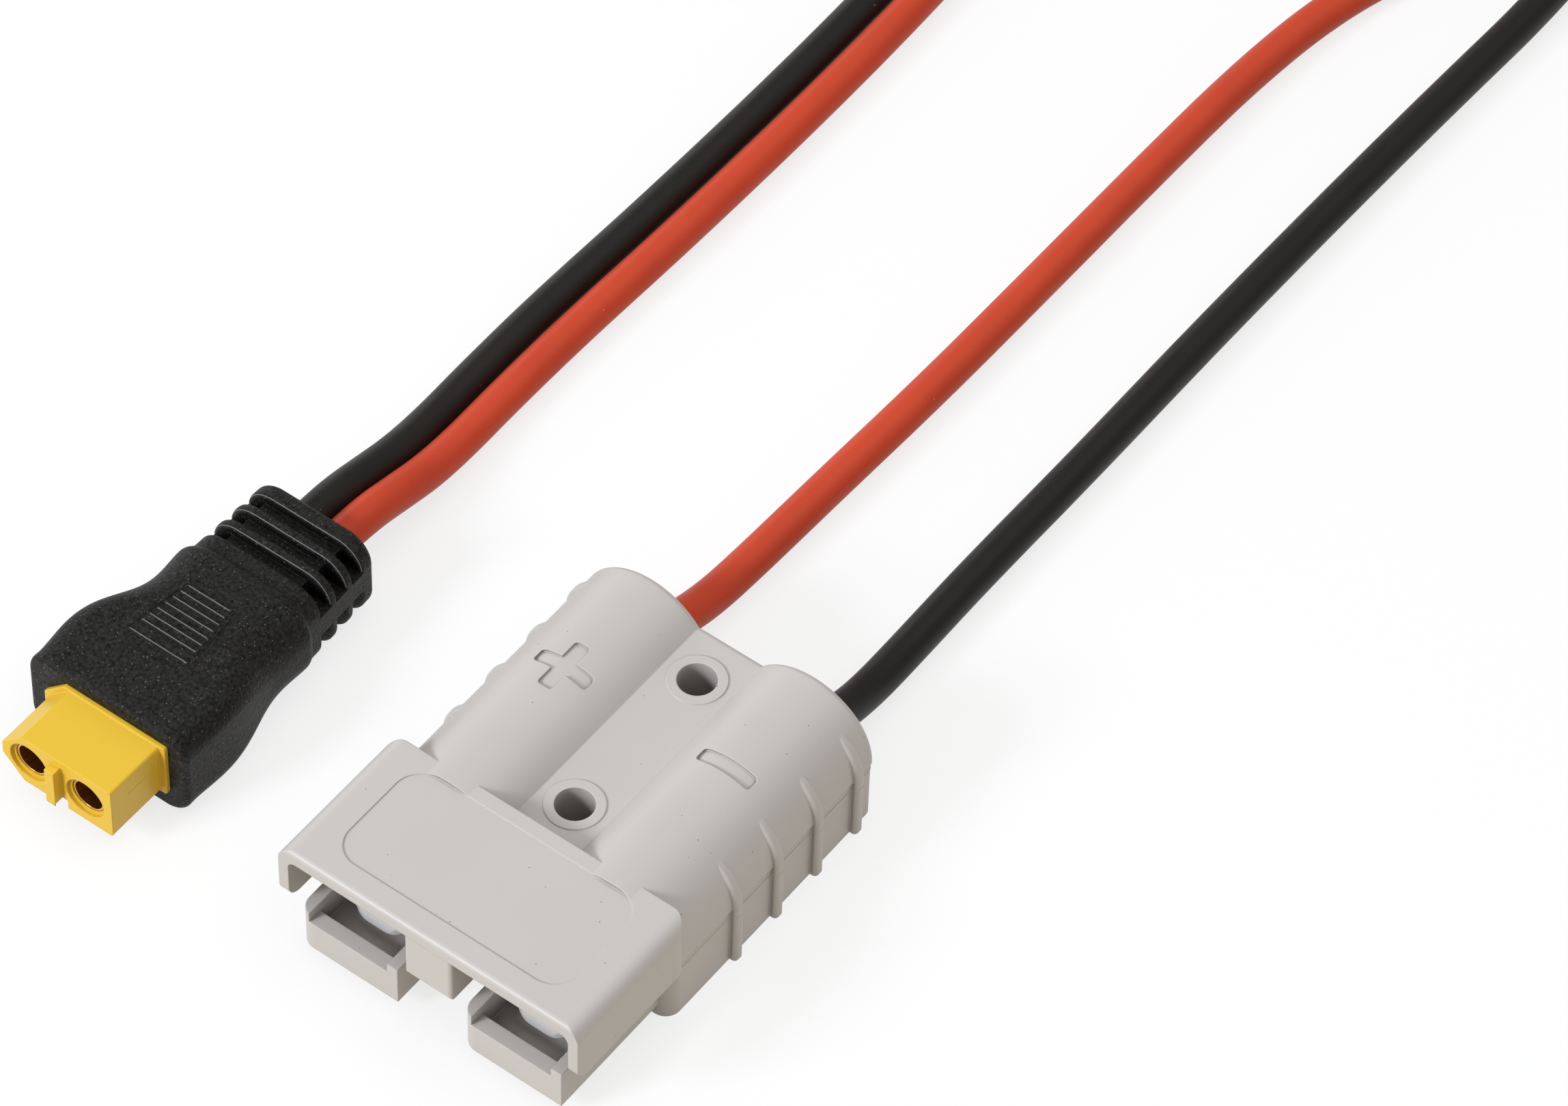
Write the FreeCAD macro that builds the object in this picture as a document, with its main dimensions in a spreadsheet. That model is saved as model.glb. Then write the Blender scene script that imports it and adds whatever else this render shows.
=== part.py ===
import FreeCAD, Part

import math
import os
import re

import Sketcher
from FreeCAD import Placement, Rotation, Vector

# Battery cable: a two-pole flat-contact housing joined by two leads to a two-pin plug.
# Millimetres. The origin lies midway between the two mounting holes of the grey housing,
# in its bottom plane. +X is to the right, the leads leave toward +Y, the mating face
# looks toward -Y, and +Z is up. Everything rests on Z = 0.

doc = FreeCAD.newDocument("BatteryCable")
sheet = doc.addObject("Spreadsheet::Sheet", "Sizes")

SIZES = [
    ("Grey housing: body", None, None),
    ("body_width", 35.0, "width over the flat flanks"),
    ("body_rear", 15.5, "rear face behind the origin"),
    ("foot_front", 17.4, "front face of the foot ahead of the origin"),
    ("foot_corner", 1.75, "plan radius of the foot's front corners"),
    ("axis_height", 8.0, "height of the barrel axes"),
    ("barrel_spacing", 20.0, "distance between the two barrel axes"),
    ("barrel_radius", 7.68, "outer radius of a barrel"),
    ("web_top", 12.66, "height of the flat web between the barrels"),
    ("rear_edge", 0.8, "rounding of the rear edges"),
    ("Grey housing: mounting holes", None, None),
    ("hole_pitch", 19.5, "distance between the hole centres"),
    ("hole_bore", 4.1, "diameter of a hole"),
    ("hole_ring", 6.2, "diameter of the raised ring round a hole"),
    ("ring_rise", 0.12, "how far the ring stands over the web"),
    ("Grey housing: flank ribs", None, None),
    ("rib_last", 12.5, "rearmost rib behind the origin"),
    ("rib_pitch", 6.53, "distance from rib to rib"),
    ("rib_thickness", 1.3, "thickness of a rib"),
    ("rib_reach", 0.75, "how far a rib stands out from the flank"),
    ("rib_crown", 6.57, "radius of a rib's upper end"),
    ("rib_nose", 0.45, "rounding of a rib's outer edges"),
    ("Grey housing: hood", None, None),
    ("hood_front", 32.7, "front edge ahead of the origin"),
    ("hood_rear", 15.2, "rear edge ahead of the origin"),
    ("hood_width", 36.5, "width over the side lips"),
    ("hood_top", 15.3, "height of the flat top"),
    ("hood_roof", 1.55, "thickness of the roof"),
    ("hood_lip", 1.2, "thickness of a side lip"),
    ("lip_bottom", 7.65, "height of the lower edge of the side lips"),
    ("hood_side_edge", 1.75, "rounding along the sides of the top"),
    ("hood_rear_corner", 2.0, "plan radius of the rear corners"),
    ("hood_front_edge", 0.55, "rounding of the front edge of the top"),
    ("lip_corner", 1.75, "rounding of the lips' lower front corners"),
    ("lip_inside", 1.0, "rounding inside the roof's corners"),
    ("keel_width", 5.8, "width of the centre rib under the roof"),
    ("keel_front", 32.65, "front of the centre rib ahead of the origin"),
    ("keel_edge", 0.5, "rounding of the centre rib's front edges"),
    ("panel_width", 28.0, "width of the blank panel sunk in the roof"),
    ("panel_front", 29.95, "front edge of the panel ahead of the origin"),
    ("panel_length", 13.1, "length of the panel"),
    ("panel_corner", 3.0, "corner radius of the panel"),
    ("panel_depth", 0.12, "depth of the panel"),
    ("Grey housing: contact trays", None, None),
    ("tray_front", 32.55, "front face ahead of the origin"),
    ("tray_bottom", 1.8, "height of the underside"),
    ("tray_height", 5.0, "height of the side walls"),
    ("tray_wall", 1.3, "thickness of the side walls"),
    ("tray_floor", 1.2, "thickness of the floor"),
    ("tray_sill", 1.75, "thickness of the front sill"),
    ("sill_drop", 1.2, "how far the sill lies under the side walls"),
    ("tray_corner", 1.75, "plan radius of the rounded front corner"),
    ("Grey housing: cavities", None, None),
    ("chamber_play", 0.65, "room beside and behind a contact's tongue"),
    ("chamber_headroom", 1.9, "room over a contact's tongue"),
    ("guide_play", 0.6, "room round a crimp barrel"),
    ("lead_bore", 10.8, "bore that a lead leaves through"),
    ("Grey housing: polarity marks", None, None),
    ("mark_length", 6.4, "length of a mark's bars"),
    ("mark_width", 1.75, "width of a mark's bars"),
    ("mark_corner", 0.45, "corner radius of the bars"),
    ("mark_depth", 0.3, "how deep a mark is sunk"),
    ("mark_back", 1.3, "marks' centre behind the origin"),
    ("Contacts", None, None),
    ("mating_height", 7.7, "height of the contact faces"),
    ("tongue_width", 8.4, "width of a tongue"),
    ("tongue_gauge", 1.8, "thickness of the metal"),
    ("tongue_front", 28.2, "tip of a tongue ahead of the origin"),
    ("tongue_rear", 3.5, "rear end of a tongue ahead of the origin"),
    ("tip_radius", 3.5, "outer radius of the curled tip"),
    ("tip_corner", 3.4, "rounding of the tip's lower corners, seen from the front"),
    ("tip_plan", 3.0, "rounding of the tip's corners, seen from above"),
    ("crimp_diameter", 6.4, "outer diameter of a crimp barrel"),
    ("crimp_front", 5.0, "front of a crimp barrel ahead of the origin"),
    ("crimp_length", 11.0, "length of a crimp barrel"),
    ("strand_diameter", 2.7, "diameter of a lead's bare strands"),
    ("strand_depth", 9.0, "how deep the strands reach into a crimp barrel"),
    ("strand_gap", 0.05, "clearance round the strands"),
    ("Leaf springs", None, None),
    ("spring_width", 7.6, "width of a leaf"),
    ("spring_gauge", 0.5, "thickness of a leaf"),
    ("spring_front", 25.2, "front foot ahead of the origin"),
    ("spring_length", 20.0, "length from foot to foot"),
    ("spring_play", 0.05, "gap between a leaf's crown and the tongue"),
    ("Plug", None, None),
    ("plug_offset", 44.75, "centre line left of the origin"),
    ("plug_front", 34.8, "front face ahead of the origin"),
    ("pin_height", 6.4, "height of the socket axes"),
    ("pin_pitch", 7.2, "distance between the socket axes"),
    ("plug_width", 14.0, "width of the body"),
    ("plug_height", 6.8, "height of the body"),
    ("plug_length", 15.5, "whole length of the body"),
    ("plug_slope", 2.6, "width and height of the two sloped corners"),
    ("plug_edge", 0.35, "rounding of the square side's edges"),
    ("flange_start", 7.3, "front of the flange behind the front face"),
    ("flange_gauge", 0.5, "thickness of the flange"),
    ("flange_reach", 0.75, "how far the flange stands out at the sides"),
    ("flange_rise", 0.15, "how far it stands out above and below"),
    ("key_width", 1.15, "width of the centre key on the front face"),
    ("key_height", 5.0, "height of the centre key"),
    ("key_reach", 1.1, "how far the key stands out"),
    ("groove_width", 2.5, "width of the groove under the body"),
    ("groove_depth", 1.2, "depth of the groove"),
    ("socket_bore", 3.5, "bore of a socket"),
    ("socket_wall", 0.25, "wall of a socket"),
    ("socket_gap", 0.05, "clearance round a socket"),
    ("socket_sunk", 0.55, "depth of a socket's mouth behind the front face"),
    ("recess_width", 4.8, "diameter of the recess round a socket's mouth"),
    ("recess_depth", 0.45, "depth of that recess"),
    ("socket_depth", 10.0, "depth of a socket's bore"),
    ("cup_length", 3.0, "solder cup behind the plug body"),
    ("cup_depth", 2.6, "depth of a solder cup"),
    ("cup_gap", 0.05, "clearance between the strands and their cup"),
    ("solder_length", 0.9, "length of the solder cone"),
    ("solder_wall", 0.4, "solder round the strands at the cone's end"),
    ("Strain relief", None, None),
    ("relief_width", 20.4, "width at the plug end"),
    ("relief_height", 11.5, "height at the plug end"),
    ("relief_corner", 2.8, "corner radius at the plug end"),
    ("waist_width", 17.2, "width behind the waist"),
    ("waist_height", 11.2, "height behind the waist"),
    ("waist_corner", 4.8, "corner radius behind the waist"),
    ("relief_aside", 0.2, "how far left of the centre line its front part lies"),
    ("waist_aside", 0.2, "how far right of the centre line the waist and the collar lie"),
    ("waist_start", 7.9, "start of the waist behind the relief's front"),
    ("waist_end", 15.7, "end of the waist behind the relief's front"),
    ("relief_bulge", 0.05, "how far the sides bulge ahead of the waist"),
    ("relief_body", 21.6, "length of the relief's main body"),
    ("relief_length", 32.3, "whole length of the relief"),
    ("relief_front_edge", 0.7, "rounding of the front edge"),
    ("relief_rear_edge", 1.2, "rounding of the main body's rear edge"),
    ("collar_width", 15.5, "width of the ribbed collar at its start"),
    ("collar_end_width", 14.7, "width of the ribbed collar at its end"),
    ("collar_height", 10.4, "height of the ribbed collar"),
    ("collar_root", 2.0, "length of the collar inside the body"),
    ("collar_lift", 0.05, "height of its underside above the floor"),
    ("collar_corner", 3.2, "corner radius of the collar"),
    ("collar_edge", 0.8, "rounding of the collar's end"),
    ("slot_start", 23.6, "first slot behind the relief's front"),
    ("slot_pitch", 2.6, "distance from slot to slot"),
    ("slot_width", 1.45, "width of a slot"),
    ("slot_edge", 0.4, "rounding of the slots' outer edges"),
    ("bridge_bottom", 4.6, "height of the side bridges' underside above the floor"),
    ("bridge_height", 2.6, "thickness of the side bridges between the ribs"),
    ("core_wall", 0.85, "plastic left over the leads in the slots"),
    ("grip_front", 8.35, "first grip line behind the relief's front"),
    ("grip_gap", 1.65, "gap behind the first grip line"),
    ("grip_pitch", 1.035, "distance between the other grip lines"),
    ("grip_aside", 0.25, "how far left of the centre line the grip lies"),
    ("grip_width", 7.6, "length of the grip line nearest the plug"),
    ("grip_end_width", 5.6, "length of the last grip line"),
    ("grip_line", 0.4, "thickness of a grip line"),
    ("grip_rise", 0.17, "how far a grip line stands over the relief"),
    ("Leads", None, None),
    ("lead_diameter", 4.0, "outer diameter of a lead"),
    ("lead_gap", 0.12, "clearance round a lead in the strain relief"),
]

RIBS = 4
SLOTS = 3
GRIP_LINES = 7

row = 1
for alias, value, note in SIZES:
    sheet.set(f"A{row}", alias)
    if value is not None:
        sheet.set(f"B{row}", str(value))
        sheet.set(f"C{row}", note)
        sheet.setAlias(f"B{row}", alias)
    row += 1
doc.recompute()

ALIASES = re.compile(r"\b(" + "|".join(a for a, v, n in SIZES if v is not None) + r")\b")


def size(alias):
    """The sheet's value of one size."""
    return float(sheet.get(alias))


def cells(text):
    """An expression in which each size's name points to its cell."""
    return ALIASES.sub(r"Sizes.\1", text)


def bind(thing, **expressions):
    """Bind properties to expressions."""
    for name, text in expressions.items():
        thing.setExpression(name, cells(text))
    return thing


def place(thing, x="0", y="0", z="0", turn=None):
    """Bind a placement. The turn is a fixed rotation of the primitive."""
    if turn is not None:
        thing.Placement = Placement(Vector(0, 0, 0), turn)
    thing.setExpression("Placement.Base.x", cells(x))
    thing.setExpression("Placement.Base.y", cells(y))
    thing.setExpression("Placement.Base.z", cells(z))
    return thing


ALONG_X = Rotation(Vector(0, 1, 0), 90)
ALONG_Y = Rotation(Vector(1, 0, 0), -90)
FACING_FRONT = Rotation(Vector(1, 0, 0), 90)


def block(name, x, y, z, width, length, height):
    """A box from its lowest corner."""
    thing = doc.addObject("Part::Box", name)
    bind(thing, Length=width, Width=length, Height=height)
    return place(thing, x, y, z)


def rod(name, x, y, z, radius, length):
    """A cylinder that runs toward +Y from its front end."""
    thing = doc.addObject("Part::Cylinder", name)
    bind(thing, Radius=radius, Height=length)
    return place(thing, x, y, z, ALONG_Y)


def axle(name, x, y, z, radius, width):
    """A cylinder that runs toward +X from its left end."""
    thing = doc.addObject("Part::Cylinder", name)
    bind(thing, Radius=radius, Height=width)
    return place(thing, x, y, z, ALONG_X)


def post(name, x, y, z, radius, height):
    """An upright cylinder."""
    thing = doc.addObject("Part::Cylinder", name)
    bind(thing, Radius=radius, Height=height)
    return place(thing, x, y, z)


def cone(name, x, y, z, front_radius, rear_radius, length):
    """A cone that runs toward +Y."""
    thing = doc.addObject("Part::Cone", name)
    bind(thing, Radius1=front_radius, Radius2=rear_radius, Height=length)
    return place(thing, x, y, z, ALONG_Y)


def fuse(name, things):
    thing = doc.addObject("Part::MultiFuse", name)
    thing.Shapes = things
    thing.Refine = True
    return thing


def common(name, things):
    thing = doc.addObject("Part::MultiCommon", name)
    thing.Shapes = things
    return thing


def cut(name, base, tool):
    thing = doc.addObject("Part::Cut", name)
    thing.Base = base
    thing.Tool = tool
    return thing


def edges_at(shape, along, **ends):
    """Numbers of the straight edges along an axis at the given ends of the shape's box."""
    found = []
    for number, edge in enumerate(shape.Edges, 1):
        if not isinstance(edge.Curve, Part.Line):
            continue
        way = edge.Curve.Direction
        if abs(abs(getattr(way, along)) - 1) > 1e-6:
            continue
        middle = edge.BoundBox.Center
        fits = all(
            abs(getattr(middle, axis) - getattr(shape.BoundBox, axis.upper() + end)) < 1e-3
            for axis, end in ends.items()
        )
        if fits:
            found.append(number)
    return found


def soften(name, base, picks, kind="Part::Fillet"):
    """Round or bevel edges: each pick is a list of edge numbers and one or two sizes."""
    thing = doc.addObject(kind, name)
    thing.Base = base
    thing.Edges = [
        (number, first, second)
        for numbers, first, second in picks
        for number in numbers
    ]
    return thing


def rounded_section(name, x, y, z, width, height, corner):
    """A sketch of a rounded rectangle, centred at x and z, in the plane across Y."""
    sketch = doc.addObject("Sketcher::SketchObject", name)
    place(sketch, x, y, z, FACING_FRONT)
    outline(sketch, width, height, corner)
    return sketch


def flat_section(name, x, y, z, width, length, corner):
    """A sketch of a rounded rectangle, centred at x and y, in a level plane."""
    sketch = doc.addObject("Sketcher::SketchObject", name)
    place(sketch, x, y, z)
    outline(sketch, width, length, corner)
    return sketch


def outline(sketch, width, height, corner):
    """Four lines and four tangent arcs about the sketch's origin, with bound sizes."""
    w, h, r = 10.0, 6.0, 1.0
    lines = [
        ((-w + r, -h), (w - r, -h)),
        ((w, -h + r), (w, h - r)),
        ((w - r, h), (-w + r, h)),
        ((-w, h - r), (-w, -h + r)),
    ]
    centres = [(w - r, -h + r), (w - r, h - r), (-w + r, h - r), (-w + r, -h + r)]
    for start, end in lines:
        sketch.addGeometry(Part.LineSegment(Vector(*start, 0), Vector(*end, 0)), False)
    for quarter, centre in enumerate(centres):
        circle = Part.Circle(Vector(*centre, 0), Vector(0, 0, 1), r)
        begin = math.pi / 2 * (quarter - 1)
        sketch.addGeometry(Part.ArcOfCircle(circle, begin, begin + math.pi / 2), False)
    add = sketch.addConstraint
    for quarter in range(4):
        add(Sketcher.Constraint("Tangent", quarter, 2, quarter + 4, 1))
        add(Sketcher.Constraint("Tangent", quarter + 4, 2, (quarter + 1) % 4, 1))
    for line in (0, 2):
        add(Sketcher.Constraint("Horizontal", line))
    for line in (1, 3):
        add(Sketcher.Constraint("Vertical", line))
    for arc in (5, 6, 7):
        add(Sketcher.Constraint("Equal", 4, arc))
    add(Sketcher.Constraint("Symmetric", 4, 3, 6, 3, -1, 1))
    named = {
        "corner": (Sketcher.Constraint("Radius", 4, r), corner),
        "wide": (Sketcher.Constraint("DistanceX", 3, 1, 1, 1, 2 * w), width),
        "tall": (Sketcher.Constraint("DistanceY", 0, 1, 2, 1, 2 * h), height),
    }
    for name, (constraint, text) in named.items():
        number = add(constraint)
        sketch.renameConstraint(number, name)
        sketch.setExpression(f"Constraints.{name}", cells(text))


def pad(name, sketch, length):
    """A sketch drawn out along its normal."""
    thing = doc.addObject("Part::Extrusion", name)
    thing.Base = sketch
    thing.DirMode = "Normal"
    thing.Solid = True
    return bind(thing, LengthFwd=length)


def loft(name, sketches):
    thing = doc.addObject("Part::Loft", name)
    thing.Sections = sketches
    thing.Solid = True
    thing.Ruled = False
    return thing


def finish(name, thing):
    """Name a finished sub-part."""
    thing.Label = name
    nodes.append(thing)
    return thing


nodes = []

# Grey housing. Shapes that cut run 1 mm past the faces that they open, and shapes that
# join reach 1 mm into each other.
foot = block(
    "Foot",
    "-body_width / 2",
    "-foot_front",
    "0",
    "body_width",
    "foot_front + body_rear",
    "axis_height",
)
doc.recompute()
foot = soften(
    "FootRounded",
    foot,
    [
        (edges_at(foot.Shape, "z", y="Min"), size("foot_corner"), size("foot_corner")),
        (edges_at(foot.Shape, "z", y="Max"), size("rear_edge"), size("rear_edge")),
    ],
)

web = block(
    "Web",
    "-barrel_spacing / 2",
    "-foot_front",
    "axis_height - 1",
    "barrel_spacing",
    "foot_front + body_rear",
    "web_top - axis_height + 1",
)
doc.recompute()
web = soften(
    "WebRounded",
    web,
    [(edges_at(web.Shape, "x", y="Max", z="Max"), size("rear_edge"), size("rear_edge"))],
)

barrels = []
for side, pole in ((-1, "Positive"), (1, "Negative")):
    barrel = rod(
        f"{pole}Barrel",
        f"{side} * barrel_spacing / 2",
        "-foot_front",
        "axis_height",
        "barrel_radius",
        "foot_front + body_rear",
    )
    doc.recompute()
    rear = [
        number
        for number, edge in enumerate(barrel.Shape.Edges, 1)
        if isinstance(edge.Curve, Part.Circle) and edge.BoundBox.YMin > size("body_rear") - 1e-3
    ]
    barrel = soften(f"{pole}BarrelRounded", barrel, [(rear, size("rear_edge"), size("rear_edge"))])
    above = block(
        f"{pole}BarrelSpace",
        f"{side} * barrel_spacing / 2 - barrel_radius - 1",
        "-foot_front - 1",
        "axis_height",
        "2 * barrel_radius + 2",
        "foot_front + body_rear + 2",
        "barrel_radius + 1",
    )
    barrels.append(common(f"{pole}BarrelHalf", [barrel, above]))

ribs = []
for side, pole in ((-1, "Positive"), (1, "Negative")):
    for count in range(RIBS):
        back = f"rib_last - {count} * rib_pitch - rib_thickness / 2"
        foot_rib = block(
            f"{pole}Rib{count}Foot",
            f"{side} * (body_width / 2 - rib_crown / 2 + rib_reach / 2) - rib_crown / 2 - rib_reach / 2",
            back,
            "0",
            "rib_crown + rib_reach",
            "rib_thickness",
            "axis_height",
        )
        crown = rod(
            f"{pole}Rib{count}Crown",
            f"{side} * (body_width / 2 + rib_reach - rib_crown)",
            back,
            "axis_height",
            "rib_crown",
            "rib_thickness",
        )
        doc.recompute()
        outer = "Max" if side > 0 else "Min"
        nose = size("rib_nose")
        foot_rib = soften(
            f"{pole}Rib{count}FootRounded",
            foot_rib,
            [(edges_at(foot_rib.Shape, "z", x=outer), nose, nose)],
        )
        rims = [n for n, e in enumerate(crown.Shape.Edges, 1) if isinstance(e.Curve, Part.Circle)]
        crown = soften(f"{pole}Rib{count}CrownRounded", crown, [(rims, nose, nose)])
        ribs += [foot_rib, crown]

hood = block(
    "Hood",
    "-hood_width / 2",
    "-hood_front",
    "lip_bottom",
    "hood_width",
    "hood_front - hood_rear",
    "hood_top - lip_bottom",
)
doc.recompute()
hood = soften(
    "HoodRounded",
    hood,
    [
        (edges_at(hood.Shape, "y", z="Max"), size("hood_side_edge"), size("hood_side_edge")),
        (edges_at(hood.Shape, "z", y="Max"), size("hood_rear_corner"), size("hood_rear_corner")),
        (edges_at(hood.Shape, "x", y="Min", z="Max"), size("hood_front_edge"), size("hood_front_edge")),
        (edges_at(hood.Shape, "x", y="Min", z="Min"), size("lip_corner"), size("lip_corner")),
    ],
)
under_hood = block(
    "UnderHood",
    "-hood_width / 2 + hood_lip",
    "-hood_front - 1",
    "-1",
    "hood_width - 2 * hood_lip",
    "hood_front - foot_front + 1",
    "hood_top - hood_roof + 1",
)
doc.recompute()
under_hood = soften(
    "UnderHoodRounded",
    under_hood,
    [(edges_at(under_hood.Shape, "y", z="Max"), size("lip_inside"), size("lip_inside"))],
)
keel = block(
    "Keel",
    "-keel_width / 2",
    "-keel_front",
    "lip_bottom",
    "keel_width",
    "keel_front - foot_front + 1",
    "hood_top - hood_roof / 2 - lip_bottom",
)
doc.recompute()
keel = soften(
    "KeelRounded",
    keel,
    [
        (edges_at(keel.Shape, "z", y="Min"), size("keel_edge"), size("keel_edge")),
        (edges_at(keel.Shape, "x", y="Min", z="Min"), size("keel_edge"), size("keel_edge")),
    ],
)
hood = fuse("HoodOverTrays", [cut("HoodShell", hood, under_hood), keel])

trays = []
cavities = []
for side, pole in ((-1, "Positive"), (1, "Negative")):
    middle = f"{side} * barrel_spacing / 2"
    tray = block(
        f"{pole}Tray",
        f"{middle} - tongue_width / 2 - chamber_play - tray_wall",
        "-tray_front",
        "tray_bottom",
        "tongue_width + 2 * chamber_play + 2 * tray_wall",
        "tray_front - foot_front + 1",
        "tray_height",
    )
    doc.recompute()
    tray = soften(
        f"{pole}TrayRounded",
        tray,
        [(edges_at(tray.Shape, "z", x="Min", y="Min"), size("tray_corner"), size("tray_corner"))],
    )
    trays.append(tray)
    sill = block(
        f"{pole}SillCut",
        f"{middle} - tongue_width / 2 - chamber_play",
        "-tray_front - 1",
        "tray_bottom + tray_height - sill_drop",
        "tongue_width + 2 * chamber_play",
        "tray_sill + 2",
        "sill_drop + 1",
    )
    chamber = block(
        f"{pole}Chamber",
        f"{middle} - tongue_width / 2 - chamber_play",
        "-tray_front + tray_sill",
        "tray_bottom + tray_floor",
        "tongue_width + 2 * chamber_play",
        "tray_front - tray_sill - tongue_rear + chamber_play",
        "mating_height + chamber_headroom - tray_bottom - tray_floor",
    )
    guide = rod(
        f"{pole}Guide",
        middle,
        "-crimp_front - guide_play",
        "axis_height",
        "crimp_diameter / 2 + guide_play",
        "crimp_length + 2 * guide_play",
    )
    outlet = rod(
        f"{pole}Outlet",
        middle,
        "crimp_length - crimp_front",
        "axis_height",
        "lead_bore / 2",
        "body_rear - crimp_length + crimp_front + 1",
    )
    cavities += [sill, chamber, guide, outlet]

holes = []
rings = []
for count, end in enumerate((-1, 1)):
    along = f"{end} * hole_pitch / 2"
    holes.append(post(f"Hole{count}", "0", along, "-1", "hole_bore / 2", "web_top + ring_rise + 2"))
    rings.append(
        post(f"HoleRing{count}", "0", along, "web_top - 1", "hole_ring / 2", "ring_rise + 1"),
    )

panel = pad(
    "Panel",
    flat_section(
        "PanelOutline",
        "0",
        "-panel_front + panel_length / 2",
        "hood_top - panel_depth",
        "panel_width",
        "panel_length",
        "panel_corner",
    ),
    "panel_depth + 1",
)

marks = []
for side, pole in ((-1, "Positive"), (1, "Negative")):
    middle = f"{side} * barrel_spacing / 2"
    bars = []
    shapes = [("Across", "mark_length", "mark_width"), ("Along", "mark_width", "mark_length")]
    for name, wide, long in shapes if side < 0 else shapes[:1]:
        bar = flat_section(
            f"{pole}{name}Outline",
            middle,
            "mark_back",
            "axis_height + barrel_radius / 2",
            wide,
            long,
            "mark_corner",
        )
        bars.append(pad(f"{pole}{name}Bar", bar, "barrel_radius"))
    under = rod(
        f"{pole}UnderMark",
        middle,
        "mark_back - mark_length",
        "axis_height",
        "barrel_radius - mark_depth",
        "2 * mark_length",
    )
    cross = fuse(f"{pole}MarkBars", bars) if len(bars) > 1 else bars[0]
    marks.append(cut(f"{pole}Mark", cross, under))

housing = cut(
    "GreyHousing",
    fuse("HousingSolid", [foot, web, *rings, *barrels, *ribs, hood, *trays]),
    fuse("HousingSpaces", [*cavities, *holes, panel, *marks]),
)
finish("grey_housing", housing)

# Contacts, leaf springs and the strands in the crimp barrels
floor = "(tray_bottom + tray_floor)"
spring_rise = "(mating_height - tongue_gauge - spring_play - tray_bottom - tray_floor)"
spring_radius = f"((spring_length ^ 2 / 4 + {spring_rise} ^ 2) / 2 / {spring_rise})"
crimp_rear = "(crimp_length - crimp_front)"

for side, pole, colour in ((-1, "positive", "red"), (1, "negative", "black")):
    Pole = pole.capitalize()
    middle = f"{side} * barrel_spacing / 2"
    left = f"{middle} - tongue_width / 2"
    curl_start = "-tongue_front + tip_radius"
    tongue = block(
        f"{Pole}Tongue",
        left,
        curl_start,
        "mating_height - tongue_gauge",
        "tongue_width",
        "tongue_front - tip_radius - tongue_rear",
        "tongue_gauge",
    )
    ring = cut(
        f"{Pole}CurlRing",
        axle(
            f"{Pole}CurlOuter",
            left,
            curl_start,
            "mating_height - tip_radius",
            "tip_radius",
            "tongue_width",
        ),
        axle(
            f"{Pole}CurlInner",
            left,
            curl_start,
            "mating_height - tip_radius",
            "tip_radius - tongue_gauge",
            "tongue_width",
        ),
    )
    face = rounded_section(
        f"{Pole}TipFace",
        middle,
        curl_start,
        "mating_height + tip_corner / 2",
        "tongue_width",
        "2 * tip_radius + tip_corner",
        "tip_corner",
    )
    plan = flat_section(
        f"{Pole}TipPlan",
        middle,
        "-tongue_front + tip_radius / 2 + tip_plan",
        "mating_height - tip_radius",
        "tongue_width",
        "tip_radius + 2 * tip_plan",
        "tip_plan",
    )
    curl = common(
        f"{Pole}Curl",
        [ring, pad(f"{Pole}TipFront", face, "tip_radius"), pad(f"{Pole}TipTop", plan, "tip_radius")],
    )
    crimp = rod(
        f"{Pole}Crimp",
        middle,
        "-crimp_front",
        "axis_height",
        "crimp_diameter / 2",
        "crimp_length",
    )
    crimp_bore = rod(
        f"{Pole}CrimpBore",
        middle,
        f"{crimp_rear} - strand_depth",
        "axis_height",
        "strand_diameter / 2 + strand_gap",
        "strand_depth + 1",
    )
    contact = cut(f"{Pole}Contact", fuse(f"{Pole}ContactSolid", [tongue, curl, crimp]), crimp_bore)
    finish(f"{pole}_contact", contact)

    spring_left = f"{middle} - spring_width / 2"
    crown = "-spring_front + spring_length / 2"
    spring = common(
        f"{Pole}Spring",
        [
            cut(
                f"{Pole}SpringRing",
                axle(
                    f"{Pole}SpringOuter",
                    spring_left,
                    crown,
                    f"{floor} + {spring_rise} - {spring_radius}",
                    spring_radius,
                    "spring_width",
                ),
                axle(
                    f"{Pole}SpringInner",
                    spring_left,
                    crown,
                    f"{floor} + {spring_rise} - {spring_radius}",
                    f"{spring_radius} - spring_gauge",
                    "spring_width",
                ),
            ),
            block(
                f"{Pole}SpringSpace",
                spring_left,
                "-spring_front",
                floor,
                "spring_width",
                "spring_length",
                spring_rise,
            ),
        ],
    )
    finish(f"{pole}_contact_spring", spring)

    strands = rod(
        f"{Pole}CrimpStrands",
        middle,
        f"{crimp_rear} - strand_depth",
        "axis_height",
        "strand_diameter / 2",
        "strand_depth",
    )
    finish(f"{colour}_strands_in_contact", strands)

# Plug body with its sockets, solder joints and strands
plug_left = "(-plug_offset - plug_width / 2)"
plug_bottom = "(pin_height - plug_height / 2)"


def sloped_block(name, reach, rise, front, length):
    """The plug's outline, grown by a reach and a rise, with its two left corners sloped."""
    thing = block(
        name,
        f"{plug_left} - {reach}",
        front,
        f"{plug_bottom} - {rise}",
        f"plug_width + 2 * {reach}",
        length,
        f"plug_height + 2 * {rise}",
    )
    doc.recompute()
    slopes = edges_at(thing.Shape, "y", x="Min")
    thing = soften(
        f"{name}Sloped",
        thing,
        [(slopes, size("plug_slope"), size("plug_slope"))],
        "Part::Chamfer",
    )
    doc.recompute()
    square = edges_at(thing.Shape, "y", x="Max")
    return soften(f"{name}Rounded", thing, [(square, size("plug_edge"), size("plug_edge"))])


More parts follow.
